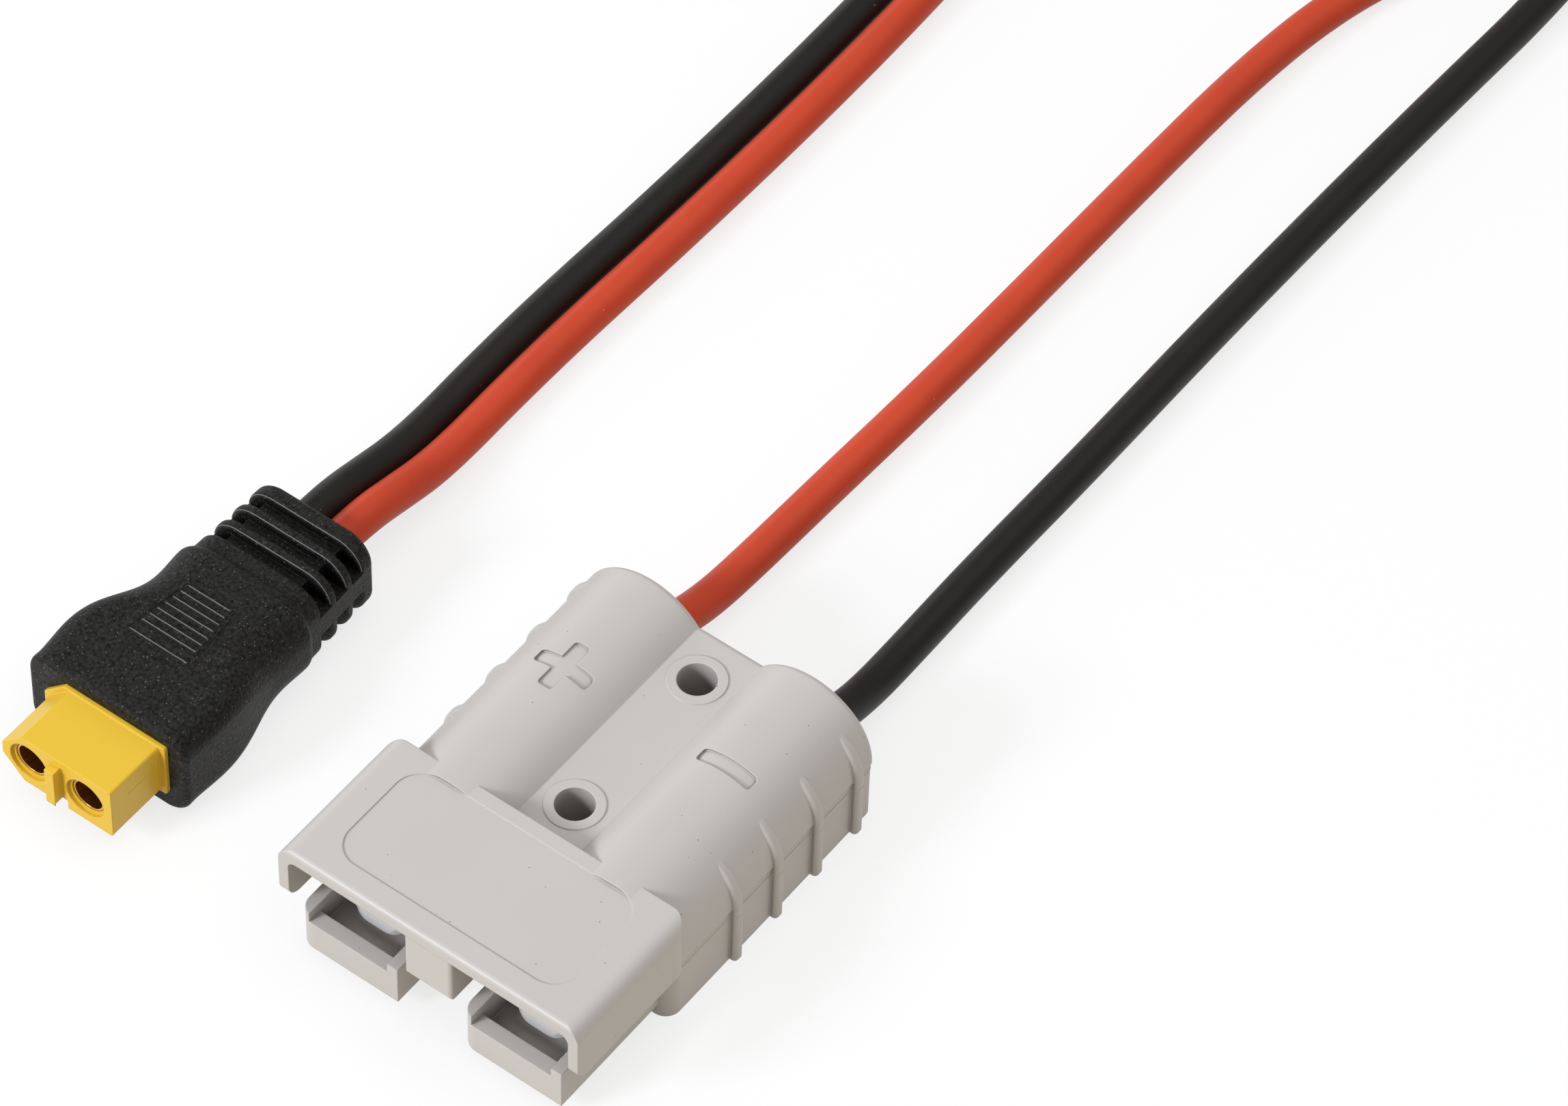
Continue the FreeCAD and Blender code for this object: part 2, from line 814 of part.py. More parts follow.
insert = sloped_block("Insert", "0", "0", "-plug_front", "plug_length")
flange = sloped_block(
    "Flange",
    "flange_reach",
    "flange_rise",
    "-plug_front + flange_start",
    "flange_gauge",
)
key = block(
    "Key",
    "-plug_offset - key_width / 2",
    "-plug_front - key_reach",
    "pin_height - key_height / 2",
    "key_width",
    "key_reach + 1",
    "key_height",
)
groove = block(
    "Groove",
    "-plug_offset - groove_width / 2",
    "-plug_front - 1",
    f"{plug_bottom} - 1",
    "groove_width",
    "flange_start + 1",
    "groove_depth + 1",
)
socket_radius = "(socket_bore / 2 + socket_wall)"
plug_rear = "(plug_length - plug_front)"
cup_rear = "(plug_length - plug_front + cup_length)"
socket_axes = {
    "negative": "(-plug_offset - pin_pitch / 2)",
    "positive": "(-plug_offset + pin_pitch / 2)",
}
socket_holes = [
    rod(
        f"{pole.capitalize()}SocketHole",
        x,
        "-plug_front - 1",
        "pin_height",
        f"{socket_radius} + socket_gap",
        "plug_length + 2",
    )
    for pole, x in socket_axes.items()
]
recesses = [
    rod(
        f"{pole.capitalize()}Recess",
        x,
        "-plug_front - 1",
        "pin_height",
        "recess_width / 2",
        "recess_depth + 1",
    )
    for pole, x in socket_axes.items()
]
plug_body = cut(
    "PlugBody",
    fuse("PlugSolid", [insert, flange, key]),
    fuse("PlugSpaces", [groove, *socket_holes, *recesses]),
)
finish("plug_body", plug_body)

for pole, colour in (("negative", "black"), ("positive", "red")):
    Pole = pole.capitalize()
    x = socket_axes[pole]
    shank = rod(
        f"{Pole}SocketShank",
        x,
        "-plug_front + socket_sunk",
        "pin_height",
        socket_radius,
        "plug_length - socket_sunk + cup_length",
    )
    mouth = rod(
        f"{Pole}SocketMouth",
        x,
        "-plug_front - 1",
        "pin_height",
        "socket_bore / 2",
        "socket_sunk + socket_depth + 1",
    )
    cup = rod(
        f"{Pole}SocketCup",
        x,
        f"{cup_rear} - cup_depth",
        "pin_height",
        "strand_diameter / 2 + cup_gap",
        "cup_depth + 1",
    )
    socket = cut(f"{Pole}Socket", shank, fuse(f"{Pole}SocketBores", [mouth, cup]))
    finish(f"{pole}_socket", socket)

    joint = cone(
        f"{Pole}SolderCone",
        x,
        cup_rear,
        "pin_height",
        socket_radius,
        "strand_diameter / 2 + solder_wall",
        "solder_length",
    )
    core = rod(
        f"{Pole}SolderCore",
        x,
        f"{cup_rear} - 1",
        "pin_height",
        "strand_diameter / 2 + cup_gap",
        "solder_length + 2",
    )
    finish(f"{pole}_solder", cut(f"{Pole}Solder", joint, core))

    strands = rod(
        f"{Pole}CupStrands",
        x,
        f"{cup_rear} - cup_depth",
        "pin_height",
        "strand_diameter / 2",
        "cup_depth + solder_length",
    )
    finish(f"{colour}_strands_in_socket", strands)

# Leads: each runs from its crimp barrel along the floor, turns back behind the housing
# and comes to the plug beside the other lead.
RED_ROUTE = [
    (-10.0, 6.3, 8.0),
    (-10.0, 10.5, 7.8),
    (-10.05, 15.0, 6.7),
    (-10.1, 20.0, 4.3),
    (-10.1, 25.5, 2.5),
    (-10.0, 33.0, 2.0),
    (-9.7, 45.0, 2.0),
    (-9.1, 63.0, 2.0),
    (-9.0, 84.0, 2.0),
    (-8.95, 102.0, 2.0),
    (-8.7, 118.0, 2.0),
    (-7.3, 132.0, 2.0),
    (-3.9, 143.6, 2.0),
    (-0.6, 153.6, 2.0),
    (-0.2, 163.6, 2.0),
    (-4.9, 173.2, 2.0),
    (-13.6, 179.6, 2.0),
    (-24.4, 181.0, 2.0),
    (-34.6, 177.4, 2.0),
    (-41.8, 169.0, 2.0),
    (-44.9, 158.2, 2.0),
    (-45.0, 145.0, 2.0),
    (-44.1, 127.0, 2.0),
    (-42.9, 108.0, 2.0),
    (-42.4, 88.0, 2.0),
    (-42.6, 64.0, 2.0),
    (-43.2, 46.0, 2.0),
    (-43.2, 34.0, 2.0),
    (-42.9, 26.5, 2.2),
    (-42.6, 20.5, 3.1),
    (-42.55, 15.5, 4.5),
    (-42.55, 10.8, 5.7),
    (-42.55, 6.0, 6.0),
    (-42.6, -3.5, 6.1),
    (-41.15, -11.4, 6.4),
    (-41.15, -15.3, 6.4),
]
BLACK_ROUTE = [
    (10.0, 6.3, 8.0),
    (10.0, 10.5, 7.8),
    (9.9, 15.0, 6.7),
    (9.7, 20.0, 4.3),
    (9.45, 25.5, 2.5),
    (9.2, 33.0, 2.0),
    (9.0, 45.0, 2.0),
    (9.2, 63.0, 2.0),
    (9.1, 86.0, 2.0),
    (9.4, 110.0, 2.0),
    (9.9, 130.0, 2.0),
    (10.5, 146.0, 2.0),
    (9.8, 160.0, 2.0),
    (5.5, 172.5, 2.0),
    (-2.6, 182.4, 2.0),
    (-13.8, 188.6, 2.0),
    (-26.6, 189.0, 2.0),
    (-38.0, 183.0, 2.0),
    (-45.6, 172.6, 2.0),
    (-49.1, 160.0, 2.0),
    (-49.4, 145.0, 2.0),
    (-48.4, 127.0, 2.0),
    (-47.2, 108.0, 2.0),
    (-46.7, 88.0, 2.0),
    (-46.9, 64.0, 2.0),
    (-47.5, 46.0, 2.0),
    (-47.4, 34.0, 2.0),
    (-47.05, 26.5, 2.2),
    (-46.75, 20.5, 3.1),
    (-46.65, 15.5, 4.5),
    (-46.65, 10.8, 5.7),
    (-46.65, 6.0, 6.0),
    (-46.75, -3.5, 6.1),
    (-48.35, -11.4, 6.4),
    (-48.35, -15.3, 6.4),
]
ARC_SHARE = 0.45
PLUG_SIDE = -30.0
PLUG_BACK = 20.0


def smooth_path(route):
    """Straight runs joined by tangent arcs, with each arc's radius."""
    points = [Vector(*point) for point in route]
    edges = []
    radii = []
    here = points[0]
    for before, corner, after in zip(points, points[1:], points[2:]):
        back = (before - corner).normalize()
        ahead = (after - corner).normalize()
        half_turn = (math.pi - back.getAngle(ahead)) / 2
        reach = ARC_SHARE * min(before.distanceToPoint(corner), after.distanceToPoint(corner))
        radius = reach / math.tan(half_turn)
        start = corner + back * reach
        end = corner + ahead * reach
        inside = (back + ahead).normalize() * (radius / math.cos(half_turn) - radius)
        edges.append(Part.LineSegment(here, start).toShape())
        edges.append(Part.Arc(start, corner + inside, end).toShape())
        radii.append(radius)
        here = end
    edges.append(Part.LineSegment(here, points[-1]).toShape())
    return Part.Wire(edges), radii


def tube(route, radius):
    """A round bar along a route."""
    path, radii = smooth_path(route)
    start = Vector(*route[0])
    circle = Part.Circle(start, Vector(*route[1]) - start, radius)
    return path.makePipeShell([Part.Wire(circle.toShape())], True, False), path, radii


def placed_shape(name, shape):
    thing = doc.addObject("Part::Feature", name)
    thing.Shape = shape
    thing.Placement = Placement(Vector(0, 0, 0), Rotation())
    return thing


channels = []
for colour, route in (("red", RED_ROUTE), ("black", BLACK_ROUTE)):
    shape, path, radii = tube(route, size("lead_diameter") / 2)
    finish(f"{colour}_lead", placed_shape(f"{colour.capitalize()}Lead", shape))
    expected = math.pi * (size("lead_diameter") / 2) ** 2 * path.Length
    print(f"{colour} lead: {path.Length:.1f} mm, smallest radius {min(radii):.1f} mm")
    print("  radii", " ".join(f"{radius:.0f}" for radius in radii))
    print(f"  volume {shape.Volume:.1f} of {expected:.1f} cubic mm")
    inside = [point for point in route if point[0] < PLUG_SIDE and point[1] < PLUG_BACK]
    channel, _, _ = tube(inside, size("lead_diameter") / 2 + size("lead_gap"))
    channels.append(placed_shape(f"{colour.capitalize()}Channel", channel))

# Strain relief, moulded over the plug's rear, the solder joints and both leads
relief_front = "(-plug_front + flange_start + flange_gauge)"


def relief_section(name, back, width, height, corner, lift="0", aside="0"):
    """A rounded outline across the strain relief, at a distance behind its front."""
    middle = f"-plug_offset + {aside}"
    along = f"{relief_front} + {back}"
    centre = f"{lift} + ({height}) / 2"
    return rounded_section(name, middle, along, centre, width, height, corner)


def collar_section(name, back, width):
    sizes = ("collar_height", "collar_corner", "collar_lift", "waist_aside")
    return relief_section(name, back, width, *sizes)


relief = loft(
    "ReliefBody",
    [
        *[
            relief_section(
                name,
                back,
                width,
                "relief_height",
                "relief_corner",
                "0",
                "-relief_aside",
            )
            for name, back, width in (
                ("ReliefFront", "0", "relief_width"),
                ("ReliefBulge", "waist_start / 2", "relief_width + 2 * relief_bulge"),
                ("ReliefShoulder", "waist_start", "relief_width + relief_bulge"),
            )
        ],
        relief_section(
            "ReliefWaist",
            "(waist_start + waist_end) / 2",
            "(relief_width + waist_width) / 2",
            "(relief_height + waist_height) / 2",
            "(relief_corner + waist_corner) / 2",
            "0",
            "(waist_aside - relief_aside) / 2",
        ),
        *[
            relief_section(
                name,
                back,
                "waist_width",
                "waist_height",
                "waist_corner",
                "0",
                "waist_aside",
            )
            for name, back in (
                ("ReliefNeck", "waist_end"),
                ("ReliefBack", "(waist_end + relief_body) / 2"),
                ("ReliefRear", "relief_body"),
            )
        ],
    ],
)
doc.recompute()


def end_edges(shape, end):
    """Numbers of the edges that lie in the shape's front or rear face."""
    face = min(shape.Faces, key=lambda f: f.CenterOfMass.y * (1 if end == "front" else -1))
    return [n for n, e in enumerate(shape.Edges, 1) if any(e.isSame(own) for own in face.Edges)]


relief = soften(
    "ReliefRounded",
    relief,
    [
        (end_edges(relief.Shape, "front"), size("relief_front_edge"), size("relief_front_edge")),
        (end_edges(relief.Shape, "rear"), size("relief_rear_edge"), size("relief_rear_edge")),
    ],
)


def collar_width_at(back):
    """The collar's width at a distance behind the relief's front."""
    share = f"(({back}) - relief_body) / (relief_length - relief_body)"
    return f"(collar_width + (collar_end_width - collar_width) * {share})"


def collar_part(name, start, end):
    """The collar's own shape from one distance behind the relief's front to another."""
    return loft(
        name,
        [
            collar_section(f"{name}Front", start, collar_width_at(start)),
            collar_section(f"{name}Rear", end, collar_width_at(end)),
        ],
    )


collar = []
for count in range(SLOTS + 1):
    start = "relief_body - collar_root"
    end = f"(slot_start + {count} * slot_pitch)"
    if count > 0:
        start = f"(slot_start + {count - 1} * slot_pitch + slot_width)"
    if count == SLOTS:
        end = "relief_length"
    rib = collar_part(f"CollarRib{count}", start, end)
    doc.recompute()
    rear_edge = size("slot_edge" if count < SLOTS else "collar_edge")
    picks = [(end_edges(rib.Shape, "rear"), rear_edge, rear_edge)]
    if count > 0:
        picks.append((end_edges(rib.Shape, "front"), size("slot_edge"), size("slot_edge")))
    collar.append(soften(f"CollarRib{count}Rounded", rib, picks))

bridged = collar_part("BridgedCollar", "relief_body", "relief_length - slot_pitch / 2")
bridges = common(
    "CollarBridges",
    [
        bridged,
        block(
            "BridgeSpace",
            "-plug_offset - collar_width",
            f"{relief_front} + relief_body",
            "bridge_bottom",
            "2 * collar_width",
            "relief_length - relief_body",
            "bridge_height",
        ),
    ],
)
core_half = "(lead_diameter + core_wall)"
core = block(
    "CollarCore",
    f"-plug_offset - {core_half}",
    f"{relief_front} + relief_body",
    "pin_height - lead_diameter / 2 - core_wall",
    f"2 * {core_half}",
    "relief_length - relief_body - collar_edge",
    "lead_diameter + 2 * core_wall",
)

grip_middle = "(-plug_offset - grip_aside)"
grip_length = f"(grip_gap + {GRIP_LINES - 1} * grip_pitch)"
lines = []
for count in range(GRIP_LINES + 1):
    along = "0" if count == 0 else f"(grip_gap + {count - 1} * grip_pitch)"
    length = f"(grip_width + (grip_end_width - grip_width) * {along} / {grip_length})"
    slope = f"(grip_front + {along} - waist_start) / (waist_end - waist_start)"
    surface = f"(relief_height + (waist_height - relief_height) * {slope})"
    lines.append(
        axle(
            f"GripLine{count}",
            f"{grip_middle} - {length} / 2",
            f"{relief_front} + grip_front + {along}",
            f"{surface} + grip_rise - grip_line / 2",
            "grip_line / 2",
            length,
        )
    )
seat = sloped_block(
    "ReliefSeat",
    "0",
    "0",
    f"{relief_front} - 1",
    f"{plug_rear} - {relief_front} + 1",
)
shafts = [
    rod(
        f"{pole.capitalize()}Shaft",
        x,
        plug_rear,
        "pin_height",
        f"{socket_radius} + socket_gap",
        f"{cup_rear} - {plug_rear} + solder_length + 1",
    )
    for pole, x in socket_axes.items()
]
strain_relief = cut(
    "StrainRelief",
    fuse("ReliefSolid", [relief, *collar, bridges, core, *lines]),
    fuse("ReliefSpaces", [seat, *shafts, *channels]),
)
finish("strain_relief", strain_relief)

# Check and write
doc.recompute()
failed = [thing.Name for thing in doc.Objects if {"Invalid", "Error"} & set(thing.State)]
if failed:
    raise RuntimeError(f"these objects failed: {', '.join(failed)}")
for node in nodes:
    if node.Shape.isNull() or not node.Shape.isValid():
        raise RuntimeError(f"{node.Label} has no valid shape")
    if len(node.Shape.Solids) != 1:
        raise RuntimeError(f"{node.Label} has {len(node.Shape.Solids)} solids")

os.makedirs("parts", exist_ok=True)
for node in nodes:
    node.Shape.exportStep(f"parts/{node.Label}.step")
print(f"{len(nodes)} sub-parts written")
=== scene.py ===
"""Battery cable: the finished look of a grey two-pole connector, two leads and a two-pin plug."""

import math

import bpy
from bpy.props import FloatProperty, FloatVectorProperty, PointerProperty
from mathutils import Matrix, Vector


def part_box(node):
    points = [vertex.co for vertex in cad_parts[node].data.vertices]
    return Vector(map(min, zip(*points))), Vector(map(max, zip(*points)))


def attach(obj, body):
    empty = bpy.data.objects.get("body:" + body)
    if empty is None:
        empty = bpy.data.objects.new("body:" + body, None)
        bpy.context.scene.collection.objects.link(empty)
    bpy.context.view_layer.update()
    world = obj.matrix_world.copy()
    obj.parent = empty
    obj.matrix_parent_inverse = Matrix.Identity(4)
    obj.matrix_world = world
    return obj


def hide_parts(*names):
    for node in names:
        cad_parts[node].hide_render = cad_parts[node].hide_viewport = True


bl_info = {
    "name": "Battery cable",
    "version": (1, 0, 0),
    "blender": (4, 5, 0),
    "location": "View3D > Sidebar > Battery cable",
    "description": "Dresses the battery cable's solids with their real finish",
    "category": "Object",
}

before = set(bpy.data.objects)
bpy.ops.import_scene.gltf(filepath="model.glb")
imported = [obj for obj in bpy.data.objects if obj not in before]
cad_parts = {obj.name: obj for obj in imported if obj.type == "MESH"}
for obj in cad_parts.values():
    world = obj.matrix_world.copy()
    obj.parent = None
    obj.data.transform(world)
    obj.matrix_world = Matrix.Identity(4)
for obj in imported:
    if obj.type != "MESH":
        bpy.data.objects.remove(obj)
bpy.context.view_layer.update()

FLANK_RIBS = 4
GRIP_RIDGES = 8
RIDGE_STEPS = 8
COLLAR_RIMS = 3

# Where each lead leaves its barrel, and its length along its centre line
RED_EXIT = (-0.01005, 0.0150, 0.0067)
RED_LENGTH = 0.397
BLACK_EXIT = (0.0099, 0.0150, 0.0067)
BLACK_LENGTH = 0.420

PLASTIC_SPECK = 0.00007
SCUFF_SIZE = 0.00008
# Painted shade in recesses: how far each place looks for cover, and how dark the colour grows there.
PAINTED_SHADE_REACH = 0.004
PAINTED_SHADE_TONE = 0.22

# Each lamp's name, place, width, power and colour
LAMPS = (
    ("key_lamp", (-0.42, -0.92, 0.62), 0.3, 9.2, (0.97, 1.0, 1.06)),
    ("top_lamp", (0.2, 0.1, 1.2), 1.3, 5.9, (1.0, 0.98, 0.94)),
    ("rear_lamp", (-1.0, 0.55, 0.35), 0.6, 1.5, (1.0, 1.0, 1.0)),
)
FLOOR_TINT = (0.58, 0.50, 0.35, 1.0)
SEEN_FLOOR = (0.98, 0.98, 0.98, 1.0)
SEEN_FLOOR_WHITE = 0.75
ROOM_LIGHT = 0.4

# Centre lines of the leads, from the crimp barrels of the housing to the plug
RED_ROUTE = [
    (-0.01000, 0.0063, 0.0080),
    (-0.01000, 0.0105, 0.0078),
    (-0.01005, 0.0150, 0.0067),
    (-0.01010, 0.0200, 0.0043),
    (-0.01010, 0.0255, 0.0025),
    (-0.01000, 0.0330, 0.0020),
    (-0.00970, 0.0450, 0.0020),
    (-0.00910, 0.0630, 0.0020),
    (-0.00900, 0.0840, 0.0020),
    (-0.00895, 0.1020, 0.0020),
    (-0.00870, 0.1180, 0.0020),
    (-0.00730, 0.1320, 0.0020),
    (-0.00390, 0.1436, 0.0020),
    (-0.00060, 0.1536, 0.0020),
    (-0.00020, 0.1636, 0.0020),
    (-0.00490, 0.1732, 0.0020),
    (-0.01360, 0.1796, 0.0020),
    (-0.02440, 0.1810, 0.0020),
    (-0.03460, 0.1774, 0.0020),
    (-0.04180, 0.1690, 0.0020),
    (-0.04490, 0.1582, 0.0020),
    (-0.04500, 0.1450, 0.0020),
    (-0.04410, 0.1270, 0.0020),
    (-0.04290, 0.1080, 0.0020),
    (-0.04240, 0.0880, 0.0020),
    (-0.04260, 0.0640, 0.0020),
    (-0.04320, 0.0460, 0.0020),
    (-0.04320, 0.0340, 0.0020),
    (-0.04290, 0.0265, 0.0022),
    (-0.04260, 0.0205, 0.0031),
    (-0.04255, 0.0155, 0.0045),
    (-0.04255, 0.0108, 0.0057),
    (-0.04255, 0.0060, 0.0060),
    (-0.04260, -0.0035, 0.0061),
    (-0.04115, -0.0114, 0.0064),
    (-0.04115, -0.0153, 0.0064),
]
BLACK_ROUTE = [
    (0.01000, 0.0063, 0.0080),
    (0.01000, 0.0105, 0.0078),
    (0.00990, 0.0150, 0.0067),
    (0.00970, 0.0200, 0.0043),
    (0.00945, 0.0255, 0.0025),
    (0.00920, 0.0330, 0.0020),
    (0.00900, 0.0450, 0.0020),
    (0.00920, 0.0630, 0.0020),
    (0.00910, 0.0860, 0.0020),
    (0.00940, 0.1100, 0.0020),
    (0.00990, 0.1300, 0.0020),
    (0.01050, 0.1460, 0.0020),
    (0.00980, 0.1600, 0.0020),
    (0.00550, 0.1725, 0.0020),
    (-0.00260, 0.1824, 0.0020),
    (-0.01380, 0.1886, 0.0020),
    (-0.02660, 0.1890, 0.0020),
    (-0.03800, 0.1830, 0.0020),
    (-0.04560, 0.1726, 0.0020),
    (-0.04910, 0.1600, 0.0020),
    (-0.04940, 0.1450, 0.0020),
    (-0.04840, 0.1270, 0.0020),
    (-0.04720, 0.1080, 0.0020),
    (-0.04670, 0.0880, 0.0020),
    (-0.04690, 0.0640, 0.0020),
    (-0.04750, 0.0460, 0.0020),
    (-0.04740, 0.0340, 0.0020),
    (-0.04705, 0.0265, 0.0022),
    (-0.04675, 0.0205, 0.0031),
    (-0.04665, 0.0155, 0.0045),
    (-0.04665, 0.0108, 0.0057),
    (-0.04665, 0.0060, 0.0060),
    (-0.04675, -0.0035, 0.0061),
    (-0.04835, -0.0114, 0.0064),
    (-0.04835, -0.0153, 0.0064),
]


def length_of(name, description, default):
    """A length in metres that the sidebar shows."""
    return FloatProperty(
        name=name,
        description=description,
        default=default,
        min=0.0,
        precision=5,
        subtype="DISTANCE",
        unit="LENGTH",
    )


def share_of(name, description, default):
    """A number from 0 to 1."""
    return FloatProperty(
        name=name, description=description, default=default, min=0.0, max=1.0, subtype="FACTOR"
    )


def colour_of(name, description, default):
    """A colour, in linear values."""
    return FloatVectorProperty(
        name=name, description=description, default=default, size=3, min=0.0, max=1.0, subtype="COLOR"
    )


class HousingSettings(bpy.types.PropertyGroup):
    colour: colour_of("Plastic", "Colour of the grey housing", (0.565, 0.535, 0.515))
    roughness: share_of("Roughness", "Roughness of the moulded plastic", 0.42)
    edge: length_of("Edge", "Radius that the light finds at a moulded edge", 0.0002)
    seam: length_of("Seam", "Radius of the parting seam along the flanks", 0.00006)
    seam_height: length_of("Seam height", "Height of the parting seam", 0.00695)
    half_width: length_of("Half width", "From the middle to a flank, between its ribs", 0.0175)
    rib_rise: length_of("Rib rise", "How far a rib stands out of the flank", 0.00075)
    rib_width: length_of("Rib width", "Width of a rib", 0.0013)
    rib_corner: length_of("Rib corner", "Radius of a rib's edges", 0.00045)
    rib_pitch: length_of("Rib pitch", "Distance from one rib to the next", 0.00653)
    last_rib: length_of("Last rib", "From the middle of the housing to the rear rib", 0.0125)
    rear: length_of("Rear", "From the middle of the housing to its rear", 0.0155)
    rear_corner: length_of("Rear corner", "Radius of the rear corners", 0.0008)
    front: length_of("Front", "From the middle of the housing to the front of its flanks", 0.0174)
    front_corner: length_of("Front corner", "Radius of the flanks' front corners", 0.00175)


class ContactSettings(bpy.types.PropertyGroup):
    plating: colour_of("Plating", "Colour of the silver plating", (0.97, 0.965, 0.95))
    leaf: colour_of("Leaf", "Colour of the leaf springs", (0.55, 0.54, 0.52))
    strands: colour_of("Strands", "Colour of the bare strands", (0.86, 0.48, 0.32))


class LeadSettings(bpy.types.PropertyGroup):
    diameter: length_of("Diameter", "Outer diameter of each lead", 0.004)
    red: colour_of("Red", "Colour of the positive lead", (0.61, 0.063, 0.024))
    black: colour_of("Black", "Colour of the negative lead", (0.014, 0.012, 0.010))
    roughness: share_of("Roughness", "Roughness of the insulation", 0.42)


class PlugSettings(bpy.types.PropertyGroup):
    yellow: colour_of("Yellow", "Colour of the plug body", (0.81, 0.525, 0.038))
    gold: colour_of("Gold", "Colour of the sockets' plating", (0.80, 0.48, 0.16))
    solder: colour_of("Solder", "Colour of the solder", (0.72, 0.72, 0.70))
    moulding: colour_of("Moulding", "Colour of the strain relief", (0.016, 0.0155, 0.0145))
    # Colour of the pale lines painted as highlights on the grip's ridges and the collar's rims.
    highlighted: colour_of("Highlighted", "Colour of the strain relief where it is rubbed", (0.20, 0.196, 0.185))
    grain: length_of("Grain", "Size of the moulding's grain", 0.0003)
    grip_middle: length_of("Grip middle", "From the middle of the housing left to the grip", 0.045)
    grip_front: length_of("Grip front", "From the middle of the housing forward to the grip", 0.0190)
    grip_length: length_of("Grip length", "Length of the grip's outline", 0.0086)
    grip_width: length_of("Grip width", "Width of the grip's outline at its front", 0.0081)
    grip_end_width: length_of("Grip end width", "Width of the grip's outline at its rear", 0.0062)
    grip_corner: length_of("Grip corner", "Length that each corner of the outline rounds off", 0.0008)
    grip_line: length_of("Grip line", "Radius of the grip's outline", 0.00007)
    ridge_front: length_of("Ridge front", "From the middle of the housing to the first ridge", 0.01865)
    ridge_gap: length_of("Ridge gap", "Distance from the first ridge of the grip to the second", 0.00165)
    ridge_pitch: length_of("Ridge pitch", "Distance between the other ridges", 0.001035)
    ridge_length: length_of("Ridge length", "Length of the first ridge", 0.0073)
    ridge_end_length: length_of("Ridge end length", "Length of the last ridge", 0.0053)
    highlight_lean: length_of("Ridge lean", "How far ahead of its middle a ridge is rubbed", 0.0001)
    rib_front: length_of("Rib front", "From the middle of the housing to the first rib's rim", 0.00183)
    rib_pitch: length_of("Rib pitch", "Distance from one rib of the collar to the next", 0.0026)
    collar_middle: length_of("Collar middle", "From the middle of the housing to the collar's", 0.04455)
    collar_height: length_of("Collar height", "Height of the collar's middle", 0.0056)
    highlight_radius: length_of("Highlight radius", "Radius of the rubbed line on an edge", 0.00005)
    seam: length_of("Seam", "Radius of the seam on the plug's right side", 0.00004)
    seam_height: length_of("Seam height", "Height of that seam", 0.0073)
    seam_length: length_of("Seam length", "Length of that seam, up to the flange", 0.0036)
    side: FloatProperty(
        name="Side",
        description="The plug's right side, across from the middle of the housing",
        default=-0.03775,
        subtype="DISTANCE",
        unit="LENGTH",
    )
    flange: length_of("Flange", "From the plug's front to its flange", 0.0073)


class StageSettings(bpy.types.PropertyGroup):
    aim: FloatVectorProperty(
        name="Aim",
        description="Point on the floor that the camera looks at",
        default=(-0.00897, 0.03633, 0.0),
        size=3,
        subtype="XYZ",
        unit="LENGTH",
    )
    distance: length_of("Distance", "Distance from the camera to that point", 0.7621)
    azimuth: FloatProperty(
        name="Azimuth",
        description="How far round to the right of the front the camera stands",
        default=math.radians(35.379),
        subtype="ANGLE",
        unit="ROTATION",
    )
    elevation: FloatProperty(
        name="Elevation",
        description="How far above the floor the camera looks down from",
        default=math.radians(50.705),
        subtype="ANGLE",
        unit="ROTATION",
    )
    roll: FloatProperty(
        name="Roll",
        description="Turn of the camera about its own view",
        default=math.radians(2.0105),
        subtype="ANGLE",
        unit="ROTATION",
    )
    lens: FloatProperty(
        name="Lens",
        description="Focal length of the camera",
        default=172.02,
        subtype="DISTANCE_CAMERA",
        unit="CAMERA",
    )
    floor: length_of("Floor", "Width of the floor", 6.0)


class BatteryCableSettings(bpy.types.PropertyGroup):
    housing: PointerProperty(type=HousingSettings)
    contacts: PointerProperty(type=ContactSettings)
    leads: PointerProperty(type=LeadSettings)
    plug: PointerProperty(type=PlugSettings)
    stage: PointerProperty(type=StageSettings)


class Graph:
    """One node tree, with short ways to add and join its nodes."""

    def __init__(self, tree):
        self.tree = tree

    def node(self, kind, inputs=(), **settings):
        """A node with its settings. Its inputs are values, or outputs of other nodes."""
        made = self.tree.nodes.new(f"ShaderNode{kind}")
        for name, value in settings.items():
            setattr(made, name, value)
        for name, value in dict(inputs).items():
            if isinstance(value, bpy.types.NodeSocket):
                self.tree.links.new(value, made.inputs[name])
            else:
                made.inputs[name].default_value = value
        return made

    def math(self, operation, first, second=0.0):
        return self.node("Math", {0: first, 1: second}, operation=operation).outputs[0]

    def between(self, value, low, high, new_low=0.0, new_high=1.0):
        """A value spread from one range to another, and held inside it."""
        spread = {0: value, 1: low, 2: high, 3: new_low, 4: new_high}
        return self.node("MapRange", spread).outputs[0]

    def mix(self, share, first, second):
        """A blend of two colours."""
        node = self.node("Mix", data_type="RGBA")
        for number, value in ((0, share), (6, first), (7, second)):
            if isinstance(value, bpy.types.NodeSocket):
                self.tree.links.new(value, node.inputs[number])
            else:
                node.inputs[number].default_value = value
        return node.outputs[2]

    def noise(self, place, scale, detail=3.0, roughness=0.5):
        inputs = {"Vector": place, "Scale": scale, "Detail": detail, "Roughness": roughness}
        return self.node("TexNoise", inputs).outputs[0]


def new_group(name, inputs, outputs):
    """A node group with its inputs and outputs named, and the way into and out of it."""
    tree = bpy.data.node_groups.new(name, "ShaderNodeTree")
    for label, kind, default in inputs:
        socket = tree.interface.new_socket(label, in_out="INPUT", socket_type=f"NodeSocket{kind}")
        socket.default_value = default
    for label, kind in outputs:
        tree.interface.new_socket(label, in_out="OUTPUT", socket_type=f"NodeSocket{kind}")
    graph = Graph(tree)
    entry = tree.nodes.new("NodeGroupInput")
    way_out = tree.nodes.new("NodeGroupOutput")
    return graph, entry.outputs, way_out.inputs


